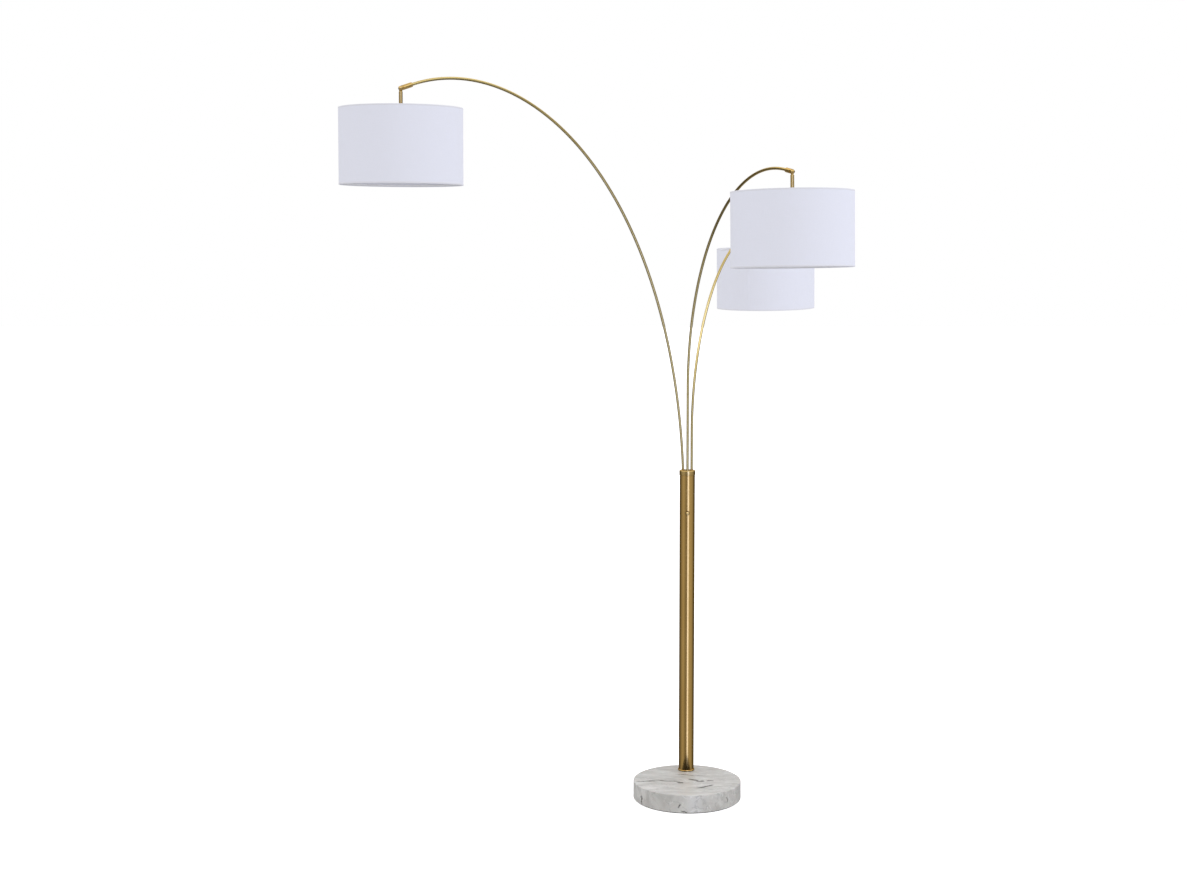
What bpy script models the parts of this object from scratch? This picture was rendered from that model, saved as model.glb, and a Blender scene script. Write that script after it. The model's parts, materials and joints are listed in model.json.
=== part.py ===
"""Arc floor lamp with three arms: a marble foot, a brass pole and three drum shades on bent tubes.

The pole stands on the Z axis, the floor is z = 0 and -Y is the side of the rotary switch. Everything
is in metres. Each arm turns about the vertical axis of its own root in the pole's cap, and each shade
tilts about the pin of the knuckle at its arm's end, so both have an empty on that axis.
"""

import math
from collections import namedtuple

import bmesh
import bpy
import numpy as np
from mathutils import Matrix, Vector

# --- Clearances -----------------------------------------------------------------------------------
GAP = 0.0003  # between faces that touch
RUN = 0.0003  # radial, round a shaft, a pin or a threaded end

# --- Foot -----------------------------------------------------------------------------------------
BASE_RADIUS = 0.165
BASE_FORWARD = 0.109  # the disc's centre, out in front of the pole's axis, under the longest arm
MARBLE_THICKNESS = 0.0537
MARBLE_TOP_EDGE = 0.0025
MARBLE_BOTTOM_EDGE = 0.0015
PAD_THICKNESS = 0.003
PAD_INSET = 0.005
RECESS_RADIUS = 0.028
RECESS_DEPTH = 0.026
NIPPLE_RADIUS = 0.0065
NIPPLE_WALL = 0.002
WASHER_RADIUS = 0.022
WASHER_THICKNESS = 0.003
NUT_FLATS = 0.022
NUT_HEIGHT = 0.007
NIPPLE_END = 0.0015  # how far the nipple stands out below its nut
INLET_RADIUS = 0.005
INLET_HEIGHT = 0.0105
BUSHING_FLANGE_RADIUS = 0.008
BUSHING_FLANGE = 0.002
BUSHING_LENGTH = 0.018
BUSHING_WALL = 0.0015

# --- Pole -----------------------------------------------------------------------------------------
POLE_RADIUS = 0.0235
POLE_WALL = 0.0015
POLE_LENGTH = 0.9314
COLLAR_WIDTH = 0.0018
COLLAR_HEIGHT = 0.004
FOOT_BUSH_HEIGHT = 0.018
CAP_OVERHANG = 0.0011
CAP_HEIGHT = 0.015
CAP_EDGE = 0.0022
CAP_SPIGOT = 0.008
HUB_HEIGHT = 0.020

# --- Rotary switch --------------------------------------------------------------------------------
SWITCH_BELOW_CAP = 0.131
SWITCH_BODY = (0.020, 0.015, 0.026)
SWITCH_NECK_RADIUS = 0.0045
SWITCH_NECK_OUT = 0.003
SPINDLE_RADIUS = 0.0020
SPINDLE_LENGTH = 0.016
SWITCH_NUT_RADIUS = 0.0070
SWITCH_NUT_THICKNESS = 0.0022
KNOB_RADIUS = 0.0055
KNOB_LENGTH = 0.011
LEAD_RADIUS = 0.0022
SPLICE_RADIUS = 0.006
SPLICE_LENGTH = 0.020
SPLICE_BELOW_ARMS = 0.012

# --- Arms -----------------------------------------------------------------------------------------
TUBE_RADIUS = 0.0040
TUBE_BORE = 0.0030
WIRE_RADIUS = 0.0015
WIRE_OUT = 0.006
TIP_LENGTH = 0.040  # straight end of the tube, up to the knuckle's pin
BEAD_WIDTH = 0.0018
BEAD_HEIGHT = 0.0025
BEAD_HEADROOM = 0.0012
SWIVEL_WASHER_THICKNESS = 0.0015
SWIVEL_NUT_WALL = 0.0011
SWIVEL_NUT_HEIGHT = 0.006
ROOT_END = 0.003  # how far the root stands out below its nut

# --- Knuckles -------------------------------------------------------------------------------------
SLEEVE_LENGTH = 0.038  # mouth to pin
SLEEVE_WALL = 0.0022
TUBE_STOP = 0.012  # shoulder in the sleeve, back from the pin
FORK_CHEEK = 0.0024
EYE_THICKNESS = 0.005
EYE_RADIUS = 0.0060
TONGUE_HALF = 0.0036  # half the width of the web between the eye and its rod
PIN_RADIUS = 0.0015
PIN_HEAD_RADIUS = 0.0030
PIN_HEAD_HEIGHT = 0.0016
PIN_HEAD_STEP = 0.0003  # each step of its low dome
WIRE_HOLE_RADIUS = 0.002

# --- Drop rod and lamp holder, as depths below the pin ---------------------------------------------
ROD_RADIUS = 0.005
ROD_BORE = 0.003
ROD_TOP = 0.0085
CUP_TOP = 0.056
CUP_HEIGHT = 0.016
CUP_NECK_RADIUS = 0.009
CUP_WALL = 0.0012
CUP_ROOF = 0.0018
CUP_CORNER = 0.003  # inside, where the roof turns down into the wall
ROD_IN_CUP = 0.005
HOLDER_RADIUS = 0.0165
HOLDER_BORE = 0.0137
HOLDER_FLANGE_RADIUS = 0.021
HOLDER_FLANGE = 0.003
HOLDER_LENGTH = 0.036
HOLDER_ROOF = 0.008
RING_WIDTH = 0.006
RING_HEIGHT = 0.006
BULB_RADIUS = 0.030
BULB_CAP_RADIUS = 0.013
BULB_CAP_LENGTH = 0.026
BULB_LENGTH = 0.108

# --- Shades ---------------------------------------------------------------------------------------
SHADE_RADIUS = 0.163
SHADE_HEIGHT = 0.200
SHADE_WALL = 0.0012
SHADE_TOP = 0.051  # depth of the top rim below the pin
RIM_INSET = 0.0022  # wire rings, in from the rims
RING_WIRE_RADIUS = 0.0018
SPOKE_RADIUS = 0.0014
SPOKES = 3
SPIDER_PLATE_WIDTH = 0.008
SPIDER_PLATE = 0.0016

# --- Arms' shapes ---------------------------------------------------------------------------------
# A tube rises plumb for `straight`, then its heading from the vertical is, at the share t of
# `bend_length`, lean + sweep * t + curl * t cubed degrees, so it bends ever more tightly outwards.
Arm = namedtuple("Arm", "name azimuth root_azimuth straight lean bend_length sweep curl shade_tilt")
ARMS = (
    Arm("left", 225.5, 150.0, 0.006, 3.4, 1.738, 58.5, 45.5, 0.5),
    Arm("front", 289.0, 270.0, 0.256, 0.0, 1.101, 98.5, 0.0, 2.0),
    Arm("rear", 65.5, 30.0, 0.115, 0.0, 0.952, 80.0, 15.0, 1.5),
)

# --- Fineness -------------------------------------------------------------------------------------
LARGE = 36  # sides of the foot, the pole and the shades
MEDIUM = 16
TUBE_SIDES = 8
WIRE_SIDES = 6
RING_SIDES = 5
NUT_POINTS = 12
EDGE_STEPS = 2
DOME_STEPS = 4
BULB_STEPS = 4
BEND_STATIONS = 24
PATH_STEPS = 600
SHARP_ANGLE = math.radians(35)
SEAM = 0.00001  # how far apart the two ends of a full turn may land

# --- What follows from the sizes --------------------------------------------------------------------
MARBLE_BOTTOM = PAD_THICKNESS + GAP
BASE_TOP = MARBLE_BOTTOM + MARBLE_THICKNESS
POLE_BOTTOM = BASE_TOP + GAP
POLE_TOP = POLE_BOTTOM + POLE_LENGTH
POLE_BORE = POLE_RADIUS - POLE_WALL
PLUG_RADIUS = POLE_BORE - RUN
CAP_BOTTOM = POLE_TOP + GAP
CAP_TOP = CAP_BOTTOM + CAP_HEIGHT
HUB_TOP = CAP_BOTTOM - CAP_SPIGOT - GAP
HUB_BOTTOM = HUB_TOP - HUB_HEIGHT
ROOT_BORE = TUBE_RADIUS + RUN
SWIVEL_NUT_FLATS = 2 * (ROOT_BORE + SWIVEL_NUT_WALL)
SWIVEL_NUT_CORNER = SWIVEL_NUT_FLATS / math.sqrt(3)
ROOT_CIRCLE = PLUG_RADIUS - SWIVEL_NUT_CORNER
SWIVEL_NUT_TOP = HUB_BOTTOM - SWIVEL_WASHER_THICKNESS - 2 * GAP
ROOT_BOTTOM = SWIVEL_NUT_TOP - SWIVEL_NUT_HEIGHT - ROOT_END
SLEEVE_BORE = TUBE_RADIUS + RUN
SLEEVE_RADIUS = SLEEVE_BORE + SLEEVE_WALL
SLOT_HALF = EYE_THICKNESS / 2 + GAP
FORK_HALF = SLOT_HALF + FORK_CHEEK
PIN_HOLE = PIN_RADIUS + RUN
HOLDER_TOP = CUP_TOP + CUP_HEIGHT + GAP
SPIDER_TOP = HOLDER_TOP + HOLDER_FLANGE + GAP
RING_TOP = SPIDER_TOP + SPIDER_PLATE + GAP
HOLDER_HOLE = HOLDER_RADIUS + RUN
BULB_TOP = HOLDER_TOP + HOLDER_ROOF + 2 * GAP
SHADE_BORE = SHADE_RADIUS - SHADE_WALL
RING_CENTRE_RADIUS = SHADE_BORE - GAP - RING_WIRE_RADIUS
SHADE_BOTTOM = SHADE_TOP + SHADE_HEIGHT


# --- Helpers --------------------------------------------------------------------------------------
def clear_scene():
    for obj in list(bpy.data.objects):
        bpy.data.objects.remove(obj, do_unlink=True)


def make_material(name, colour, roughness, metallic=0.0, transmission=0.0):
    made = bpy.data.materials.new(name)
    made.use_nodes = True
    shader = made.node_tree.nodes["Principled BSDF"]
    shader.inputs["Base Color"].default_value = (*colour, 1.0)
    shader.inputs["Roughness"].default_value = roughness
    shader.inputs["Metallic"].default_value = metallic
    shader.inputs["Transmission Weight"].default_value = transmission
    made.diffuse_color = (*colour, 1.0)
    return made


def finished(bm):
    """The bmesh as a mesh with its faces pointing out, smooth apart from its sharp edges."""
    bmesh.ops.remove_doubles(bm, verts=bm.verts, dist=SEAM)
    bmesh.ops.recalc_face_normals(bm, faces=bm.faces)
    mesh = bpy.data.meshes.new("shape")
    bm.to_mesh(mesh)
    bm.free()
    smooth(mesh)
    return mesh


def smooth(mesh):
    mesh.shade_smooth()
    mesh.set_sharp_from_angle(angle=SHARP_ANGLE)


def place(name, mesh, material, parent=None, matrix=None):
    """A named object with its own material, under its parent and at `matrix` in the parent's frame."""
    obj = bpy.data.objects.new(name, mesh.copy())
    obj.data.name = name
    obj.data.materials.clear()
    obj.data.materials.append(material)
    bpy.context.scene.collection.objects.link(obj)
    obj.parent = parent
    if matrix is not None:
        obj.matrix_local = matrix
    return obj


def pivot(name, parent, location, rotation):
    """An empty on a joint's axis."""
    empty = bpy.data.objects.new(name, None)
    bpy.context.scene.collection.objects.link(empty)
    empty.parent = parent
    empty.location = location
    empty.rotation_euler = rotation
    return empty


def arc(centre_r, centre_z, radius, start, end, steps):
    """Points of a round stretch of a profile, its angles in degrees from the outward direction."""
    angles = np.radians(np.linspace(start, end, steps + 1))
    return [(centre_r + radius * math.cos(a), centre_z + radius * math.sin(a)) for a in angles]


def turned(profile, sides):
    """A solid turned about Z. A profile that ends on the axis both times stays open, others close."""
    bm = bmesh.new()
    verts = [bm.verts.new((r, 0.0, z)) for r, z in profile]
    edges = [bm.edges.new(pair) for pair in zip(verts, verts[1:])]
    if profile[0][0] > 0 or profile[-1][0] > 0:
        edges.append(bm.edges.new((verts[-1], verts[0])))
    bmesh.ops.spin(
        bm, geom=verts + edges, cent=(0, 0, 0), axis=(0, 0, 1), angle=2 * math.pi, steps=sides
    )
    return finished(bm)


def ring(inner, outer, low, high, sides):
    return turned([(inner, high), (outer, high), (outer, low), (inner, low)], sides)


def disc(radius, low, high, sides):
    return turned([(0, high), (radius, high), (radius, low), (0, low)], sides)


def wire_ring(radius, wire, z):
    return turned(arc(radius, z, wire, 0, 360, RING_SIDES)[:-1], LARGE)


def box(low, high):
    bm = bmesh.new()
    bmesh.ops.create_cube(bm, size=1.0)
    size = Vector(high) - Vector(low)
    bmesh.ops.scale(bm, vec=size, verts=bm.verts)
    bmesh.ops.translate(bm, vec=(Vector(high) + Vector(low)) / 2, verts=bm.verts)
    return finished(bm)


def hex_nut(flats, bore, low, high):
    """A six-sided nut with a round hole: both outlines have the same number of points."""
    bm = bmesh.new()
    angles = np.radians(np.arange(NUT_POINTS) * 360 / NUT_POINTS)
    loops = []
    for z in (low, high):
        for inner in (False, True):
            from_flat = [(a + math.pi / 6) % (math.pi / 3) - math.pi / 6 for a in angles]
            reach = [bore if inner else flats / 2 / math.cos(a) for a in from_flat]
            points = [(r * math.cos(a), r * math.sin(a), z) for r, a in zip(reach, angles)]
            loops.append([bm.verts.new(point) for point in points])
    outer_low, inner_low, outer_high, inner_high = loops
    around = [outer_low, outer_high, inner_high, inner_low]
    for a, b in zip(around, around[1:] + around[:1]):
        join_loops(bm, a, b)
    return finished(bm)


def join_loops(bm, a, b):
    for i in range(len(a)):
        j = (i + 1) % len(a)
        bm.faces.new((a[i], a[j], b[j], b[i]))


def combined(mesh, operation, others):
    """The mesh after one Boolean with each of the others, in turn."""
    body = bpy.data.objects.new("body", mesh)
    bpy.context.scene.collection.objects.link(body)
    helpers = [body]
    for other in others:
        helper = bpy.data.objects.new("helper", other)
        bpy.context.scene.collection.objects.link(helper)
        helpers.append(helper)
        boolean = body.modifiers.new("boolean", "BOOLEAN")
        boolean.operation = operation
        boolean.solver = "EXACT"
        boolean.object = helper
    bpy.context.view_layer.update()
    graph = bpy.context.evaluated_depsgraph_get()
    result = bpy.data.meshes.new_from_object(body.evaluated_get(graph))
    for helper in helpers:
        bpy.data.objects.remove(helper, do_unlink=True)
    smooth(result)
    return result


def moved(mesh, matrix):
    copy = mesh.copy()
    copy.transform(matrix)
    return copy


# These lay the Z of a turned shape along +Y or -Y.
ALONG_Y = Matrix.Rotation(math.radians(-90), 4, "X")
ALONG_MINUS_Y = Matrix.Rotation(math.radians(90), 4, "X")


# --- The arms' centrelines --------------------------------------------------------------------------
def arm_length(arm):
    """From the cap's top to the knuckle's pin, along the tube."""
    return arm.straight + arm.bend_length + TIP_LENGTH


def arm_stations(arm, distances):
    """For distances along the tube from the cap's top: (outwards, height, heading in radians) rows."""
    share = np.linspace(0.0, 1.0, PATH_STEPS + 1)
    heading = np.radians(arm.lean + arm.sweep * share + arm.curl * share**3)
    middle = (heading[1:] + heading[:-1]) / 2
    step = arm.bend_length / PATH_STEPS
    out = np.concatenate([[0.0], np.cumsum(np.sin(middle) * step)])
    rise = np.concatenate([[0.0], np.cumsum(np.cos(middle) * step)])
    along = share * arm.bend_length
    s = np.asarray(distances, float) - arm.straight
    past = np.maximum(s - arm.bend_length, 0.0)
    x = np.interp(s, along, out) + past * math.sin(heading[-1])
    z = np.interp(s, along, rise) + past * math.cos(heading[-1]) + np.minimum(s, 0.0) + arm.straight
    turn = np.where(s < 0, 0.0, np.interp(s, along, heading))
    return np.stack([x, z, turn], axis=1)


def bend_distances(arm, start, end):
    """Where a swept piece from `start` to `end` has its cross-sections."""
    bend = np.linspace(arm.straight, arm.straight + arm.bend_length, BEND_STATIONS)
    return np.concatenate([[start], bend, [end]])


def sweep_rings(bm, stations, radii, sides):
    """Rings of points square to the path, one for each station."""
    rings = []
    for (x, z, turn), radius in zip(stations, radii):
        side = Vector((math.cos(turn), 0.0, -math.sin(turn)))
        loop = []
        for k in range(sides):
            a = 2 * math.pi * k / sides
            offset = side * (radius * math.cos(a)) + Vector((0.0, radius * math.sin(a), 0.0))
            loop.append(bm.verts.new(Vector((x, 0.0, z)) + offset))
        rings.append(loop)
    for a, b in zip(rings, rings[1:]):
        join_loops(bm, a, b)
    return rings


def arm_tube_mesh(arm):
    """The bent tube with the rolled bead that rests on the hub, open at both ends."""
    bm = bmesh.new()
    start = ROOT_BOTTOM - CAP_TOP
    end = arm_length(arm) - TUBE_STOP - GAP
    bead = HUB_TOP + GAP - CAP_TOP
    inner = bend_distances(arm, start, end)
    outer = np.concatenate([[start, bead, bead, bead + BEAD_HEIGHT, bead + BEAD_HEIGHT], inner[1:]])
    radii = np.full(len(outer), TUBE_RADIUS)
    radii[2:4] += BEAD_WIDTH
    outside = sweep_rings(bm, arm_stations(arm, outer), radii, TUBE_SIDES)
    inside = sweep_rings(bm, arm_stations(arm, inner), np.full(len(inner), TUBE_BORE), TUBE_SIDES)
    join_loops(bm, outside[0], inside[0])
    join_loops(bm, outside[-1], inside[-1])
    return finished(bm)


def arm_wire_mesh(arm):
    """The twin lead inside the tube, as one round strand."""
    bm = bmesh.new()
    start = ROOT_BOTTOM - CAP_TOP - WIRE_OUT
    distances = bend_distances(arm, start, arm_length(arm) - TUBE_STOP - WIRE_RADIUS)
    rings = sweep_rings(bm, arm_stations(arm, distances), np.full(len(distances), WIRE_RADIUS), WIRE_SIDES)
    bm.faces.new(rings[0])
    bm.faces.new(rings[-1])
    return finished(bm)


# --- Foot -----------------------------------------------------------------------------------------
AT_BASE = Matrix.Translation((0, -BASE_FORWARD, 0))


def marble_mesh():
    """The disc, with a hole for the nipple over a recess for its nut, and a hole for the cord."""
    edge = MARBLE_TOP_EDGE
    profile = [(0.0, BASE_TOP)]
    profile += arc(BASE_RADIUS - edge, BASE_TOP - edge, edge, 90, 0, EDGE_STEPS)
    profile += [
        (BASE_RADIUS, MARBLE_BOTTOM + MARBLE_BOTTOM_EDGE),
        (BASE_RADIUS - MARBLE_BOTTOM_EDGE, MARBLE_BOTTOM),
        (0.0, MARBLE_BOTTOM),
    ]
    above = BASE_TOP + RECESS_DEPTH
    ceiling = MARBLE_BOTTOM + RECESS_DEPTH
    below = MARBLE_BOTTOM - RECESS_DEPTH
    bore = NIPPLE_RADIUS + RUN
    hollow = [
        (0.0, above),
        (bore, above),
        (bore, ceiling),
        (RECESS_RADIUS, ceiling),
        (RECESS_RADIUS, below),
        (0.0, below),
    ]
    inlet = moved(disc(INLET_RADIUS, 0.0, 2 * BASE_RADIUS, MEDIUM), ALONG_Y)
    inlet = moved(inlet, Matrix.Translation((0, 0, INLET_HEIGHT)))
    body = moved(turned(profile, LARGE), AT_BASE)
    return combined(body, "DIFFERENCE", [turned(hollow, LARGE), inlet])


def bushing_mesh():
    """The cord's gland: a flanged sleeve pressed into the rear end of the inlet hole."""
    body = INLET_RADIUS - GAP
    hole = body - BUSHING_WALL
    face = BASE_RADIUS - BASE_FORWARD + GAP
    profile = [
        (hole, face + BUSHING_FLANGE),
        (BUSHING_FLANGE_RADIUS, face + BUSHING_FLANGE),
        (BUSHING_FLANGE_RADIUS, face),
        (body, face),
        (body, face - BUSHING_LENGTH),
        (hole, face - BUSHING_LENGTH),
    ]
    return turned(profile, MEDIUM)


def build_foot(materials):
    ceiling = MARBLE_BOTTOM + RECESS_DEPTH
    washer_low = ceiling - GAP - WASHER_THICKNESS
    nut_high = washer_low - GAP
    nut_low = nut_high - NUT_HEIGHT
    bore = NIPPLE_RADIUS + RUN
    pad = disc(BASE_RADIUS - PAD_INSET, 0.0, PAD_THICKNESS, LARGE)
    place("base_felt_pad", pad, materials["felt"], matrix=AT_BASE)
    place("marble_base", marble_mesh(), materials["marble"])
    washer = ring(bore, WASHER_RADIUS, washer_low, washer_low + WASHER_THICKNESS, MEDIUM)
    place("base_washer", washer, materials["steel"])
    place("base_hex_nut", hex_nut(NUT_FLATS, bore, nut_low, nut_high), materials["steel"])
    nipple_top = POLE_BOTTOM + FOOT_BUSH_HEIGHT
    nipple = ring(NIPPLE_RADIUS - NIPPLE_WALL, NIPPLE_RADIUS, nut_low - NIPPLE_END, nipple_top, MEDIUM)
    place("base_nipple", nipple, materials["steel"])
    at_inlet = Matrix.Translation((0, 0, INLET_HEIGHT)) @ ALONG_Y
    place("cord_bushing", bushing_mesh(), materials["plastic"], matrix=at_inlet)


# --- Pole -----------------------------------------------------------------------------------------
def pole_mesh():
    neck = disc(SWITCH_NECK_RADIUS + RUN, 0.0, 2 * POLE_RADIUS, MEDIUM)
    neck = moved(neck, Matrix.Translation((0, 0, CAP_TOP - SWITCH_BELOW_CAP)) @ ALONG_MINUS_Y)
    return combined(ring(POLE_BORE, POLE_RADIUS, POLE_BOTTOM, POLE_TOP, LARGE), "DIFFERENCE", [neck])


def root_place(arm):
    angle = math.radians(arm.root_azimuth)
    return Vector((ROOT_CIRCLE * math.cos(angle), ROOT_CIRCLE * math.sin(angle), 0.0))


def at_roots(mesh):
    return [moved(mesh, Matrix.Translation(root_place(arm))) for arm in ARMS]


def cap_mesh():
    """The pole's cap: a rounded disc over a spigot, with a stepped hole for each root and its bead."""
    outer = POLE_RADIUS + CAP_OVERHANG
    spigot_end = CAP_BOTTOM - CAP_SPIGOT
    profile = [(0.0, CAP_TOP)]
    profile += arc(outer - CAP_EDGE, CAP_TOP - CAP_EDGE, CAP_EDGE, 90, 0, EDGE_STEPS)
    profile += [
        (outer, CAP_BOTTOM),
        (PLUG_RADIUS, CAP_BOTTOM),
        (PLUG_RADIUS, spigot_end),
        (0.0, spigot_end),
    ]
    bead_room = HUB_TOP + GAP + BEAD_HEIGHT + BEAD_HEADROOM
    bead_hole = TUBE_RADIUS + BEAD_WIDTH + RUN
    above = CAP_TOP + CAP_HEIGHT
    below = spigot_end - CAP_HEIGHT
    stepped = [
        (0.0, above),
        (ROOT_BORE, above),
        (ROOT_BORE, bead_room),
        (bead_hole, bead_room),
        (bead_hole, below),
        (0.0, below),
    ]
    return combined(turned(profile, LARGE), "DIFFERENCE", at_roots(turned(stepped, MEDIUM)))


def build_pole(materials):
    collar_bore = POLE_RADIUS + RUN
    collar = [
        (collar_bore, POLE_BOTTOM + COLLAR_HEIGHT),
        (collar_bore + COLLAR_WIDTH / 2, POLE_BOTTOM + COLLAR_HEIGHT),
        (collar_bore + COLLAR_WIDTH, POLE_BOTTOM + COLLAR_HEIGHT / 2),
        (collar_bore + COLLAR_WIDTH, POLE_BOTTOM),
        (collar_bore, POLE_BOTTOM),
    ]
    place("pole_foot_collar", turned(collar, LARGE), materials["brass"])
    bush = ring(NIPPLE_RADIUS + RUN, PLUG_RADIUS, POLE_BOTTOM, POLE_BOTTOM + FOOT_BUSH_HEIGHT, LARGE)
    place("pole_foot_bush", bush, materials["steel"])
    place("pole_tube", pole_mesh(), materials["brass"])
    place("pole_cap", cap_mesh(), materials["brass"])
    hole = disc(ROOT_BORE, HUB_BOTTOM - HUB_HEIGHT, HUB_TOP + HUB_HEIGHT, MEDIUM)
    hub = combined(disc(PLUG_RADIUS, HUB_BOTTOM, HUB_TOP, LARGE), "DIFFERENCE", at_roots(hole))
    place("arm_hub", hub, materials["steel"])


# --- Rotary switch --------------------------------------------------------------------------------
def build_switch(materials):
    """The switch sits inside the pole; its neck comes out of the -Y side and takes the nut and knob."""
    centre = Matrix.Translation((0, 0, CAP_TOP - SWITCH_BELOW_CAP))
    width, depth, height = SWITCH_BODY
    front = -(math.sqrt(POLE_BORE**2 - (width / 2) ** 2) - 2 * RUN)
    neck_end = POLE_RADIUS + GAP + SWITCH_NUT_THICKNESS + SWITCH_NECK_OUT
    body = box((-width / 2, front, -height / 2), (width / 2, front + depth, height / 2))
    neck = moved(disc(SWITCH_NECK_RADIUS, -front - depth / 2, neck_end, MEDIUM), ALONG_MINUS_Y)
    hole = moved(disc(SPINDLE_RADIUS + RUN, neck_end - SPINDLE_LENGTH, 2 * neck_end, MEDIUM), ALONG_MINUS_Y)
    body = combined(combined(body, "UNION", [neck]), "DIFFERENCE", [hole])
    place("switch_body", body, materials["plastic"], matrix=centre)

    nut_back = POLE_RADIUS + GAP
    nut_front = nut_back + SWITCH_NUT_THICKNESS
    nut = ring(SWITCH_NECK_RADIUS + RUN, SWITCH_NUT_RADIUS, nut_back, nut_front, MEDIUM)
    place("switch_nut", nut, materials["brass"], matrix=centre @ ALONG_MINUS_Y)

    knob_back = nut_front + GAP
    knob_end = knob_back + KNOB_LENGTH
    skirt = SWITCH_NECK_RADIUS + RUN
    floor = neck_end + GAP
    spindle_end = neck_end - SPINDLE_LENGTH + GAP
    edge = KNOB_RADIUS / 5
    knob = [
        (0.0, knob_end),
        (KNOB_RADIUS - edge, knob_end),
        (KNOB_RADIUS, knob_end - edge),
        (KNOB_RADIUS, knob_back),
        (skirt, knob_back),
        (skirt, floor),
        (SPINDLE_RADIUS, floor),
        (SPINDLE_RADIUS, spindle_end),
        (0.0, spindle_end),
    ]
    axis = pivot("switch_axis", None, centre.translation, (math.radians(90), 0, 0))
    place("switch_knob", turned(knob, MEDIUM), materials["brass"], parent=axis)

    splice_low = ROOT_BOTTOM - WIRE_OUT - SPLICE_BELOW_ARMS - SPLICE_LENGTH
    lead_low = CAP_TOP - SWITCH_BELOW_CAP + height / 2 + GAP
    behind = Matrix.Translation((0, front + depth / 2, 0))
    lead = disc(LEAD_RADIUS, lead_low, splice_low - GAP, TUBE_SIDES)
    place("switch_lead", lead, materials["cable"], matrix=behind)
    splice = disc(SPLICE_RADIUS, splice_low, splice_low + SPLICE_LENGTH, TUBE_SIDES)
    place("wire_splice", splice, materials["plastic"], matrix=behind)


# --- Knuckle: the sleeve's frame has Z along the tube's end, the pin on Y and the pin at the origin ----
def sleeve_mesh():
    slot_depth = EYE_RADIUS + 2 * RUN
    bevel = SLEEVE_WALL / 3
    profile = [
        (0.0, -slot_depth / 2),
        (WIRE_HOLE_RADIUS, -slot_depth / 2),
        (WIRE_HOLE_RADIUS, -TUBE_STOP),
        (SLEEVE_BORE, -TUBE_STOP),
        (SLEEVE_BORE, -SLEEVE_LENGTH),
        (SLEEVE_RADIUS - bevel, -SLEEVE_LENGTH),
        (SLEEVE_RADIUS, -SLEEVE_LENGTH + bevel),
    ]
    profile += arc(0.0, 0.0, SLEEVE_RADIUS, 0, 90, DOME_STEPS)[:-1]
    profile += [(0.0, SLEEVE_RADIUS)]
    reach = 2 * SLEEVE_RADIUS
    slot = box((-reach, -SLOT_HALF, -slot_depth), (reach, SLOT_HALF, reach))
    flats = [
        box((-reach, FORK_HALF, -slot_depth), (reach, reach, reach)),
        box((-reach, -reach, -slot_depth), (reach, -FORK_HALF, reach)),
    ]
    pin_hole = moved(disc(PIN_HOLE, -reach, reach, TUBE_SIDES), ALONG_Y)
    return combined(turned(profile, MEDIUM), "DIFFERENCE", [slot, *flats, pin_hole])


def pin_mesh():
    head = FORK_HALF + GAP
    top = head + PIN_HEAD_HEIGHT
    profile = [
        (0.0, top),
        (PIN_HEAD_RADIUS / 2, top - PIN_HEAD_STEP),
        (PIN_HEAD_RADIUS, head + PIN_HEAD_STEP),
        (PIN_HEAD_RADIUS, head),
        (PIN_RADIUS, head),
        (PIN_RADIUS, -FORK_HALF),
        (0.0, -FORK_HALF),
    ]
    return turned(profile, TUBE_SIDES)


# --- Everything that hangs from the pin: Z up, depths below the pin negative ---------------------------
def drop_rod_mesh():
    end = CUP_TOP + CUP_WALL + ROD_IN_CUP
    neck = EYE_THICKNESS / 2
    edge = ROD_RADIUS / 5
    profile = [
        (0.0, -ROD_TOP),
        (ROD_RADIUS - edge, -ROD_TOP),
        (ROD_RADIUS, -ROD_TOP - edge),
        (ROD_RADIUS, -end),
        (ROD_BORE, -end),
        (ROD_BORE, -ROD_TOP - ROD_BORE),
        (0.0, -ROD_TOP - ROD_BORE),
    ]
    eye = moved(disc(EYE_RADIUS, -neck, neck, MEDIUM), ALONG_Y)
    tongue = box((-TONGUE_HALF, -neck, -ROD_TOP - ROD_BORE / 2), (TONGUE_HALF, neck, 0.0))
    hole = moved(disc(PIN_HOLE, -EYE_THICKNESS, EYE_THICKNESS, TUBE_SIDES), ALONG_Y)
    joined = combined(turned(profile, MEDIUM), "UNION", [tongue, eye])
    return combined(joined, "DIFFERENCE", [hole])


def cup_mesh():
    """The lamp holder's brass cup, a bell with a hole for the rod in its neck."""
    hole = ROD_RADIUS + RUN
    low = -CUP_TOP - CUP_HEIGHT
    wide = HOLDER_FLANGE_RADIUS
    shoulder = -CUP_TOP - CUP_HEIGHT / 2
    profile = [
        (hole, -CUP_TOP),
        (CUP_NECK_RADIUS, -CUP_TOP),
        (wide - CUP_WALL, shoulder),
        (wide, shoulder - CUP_WALL),
        (wide, low),
        (wide - CUP_WALL, low),
        (wide - CUP_WALL, shoulder - CUP_ROOF),
        (wide - CUP_CORNER, shoulder - CUP_WALL),
        (CUP_NECK_RADIUS, -CUP_TOP - CUP_ROOF),
        (hole, -CUP_TOP - CUP_ROOF),
    ]
    return turned(profile, MEDIUM)


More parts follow.
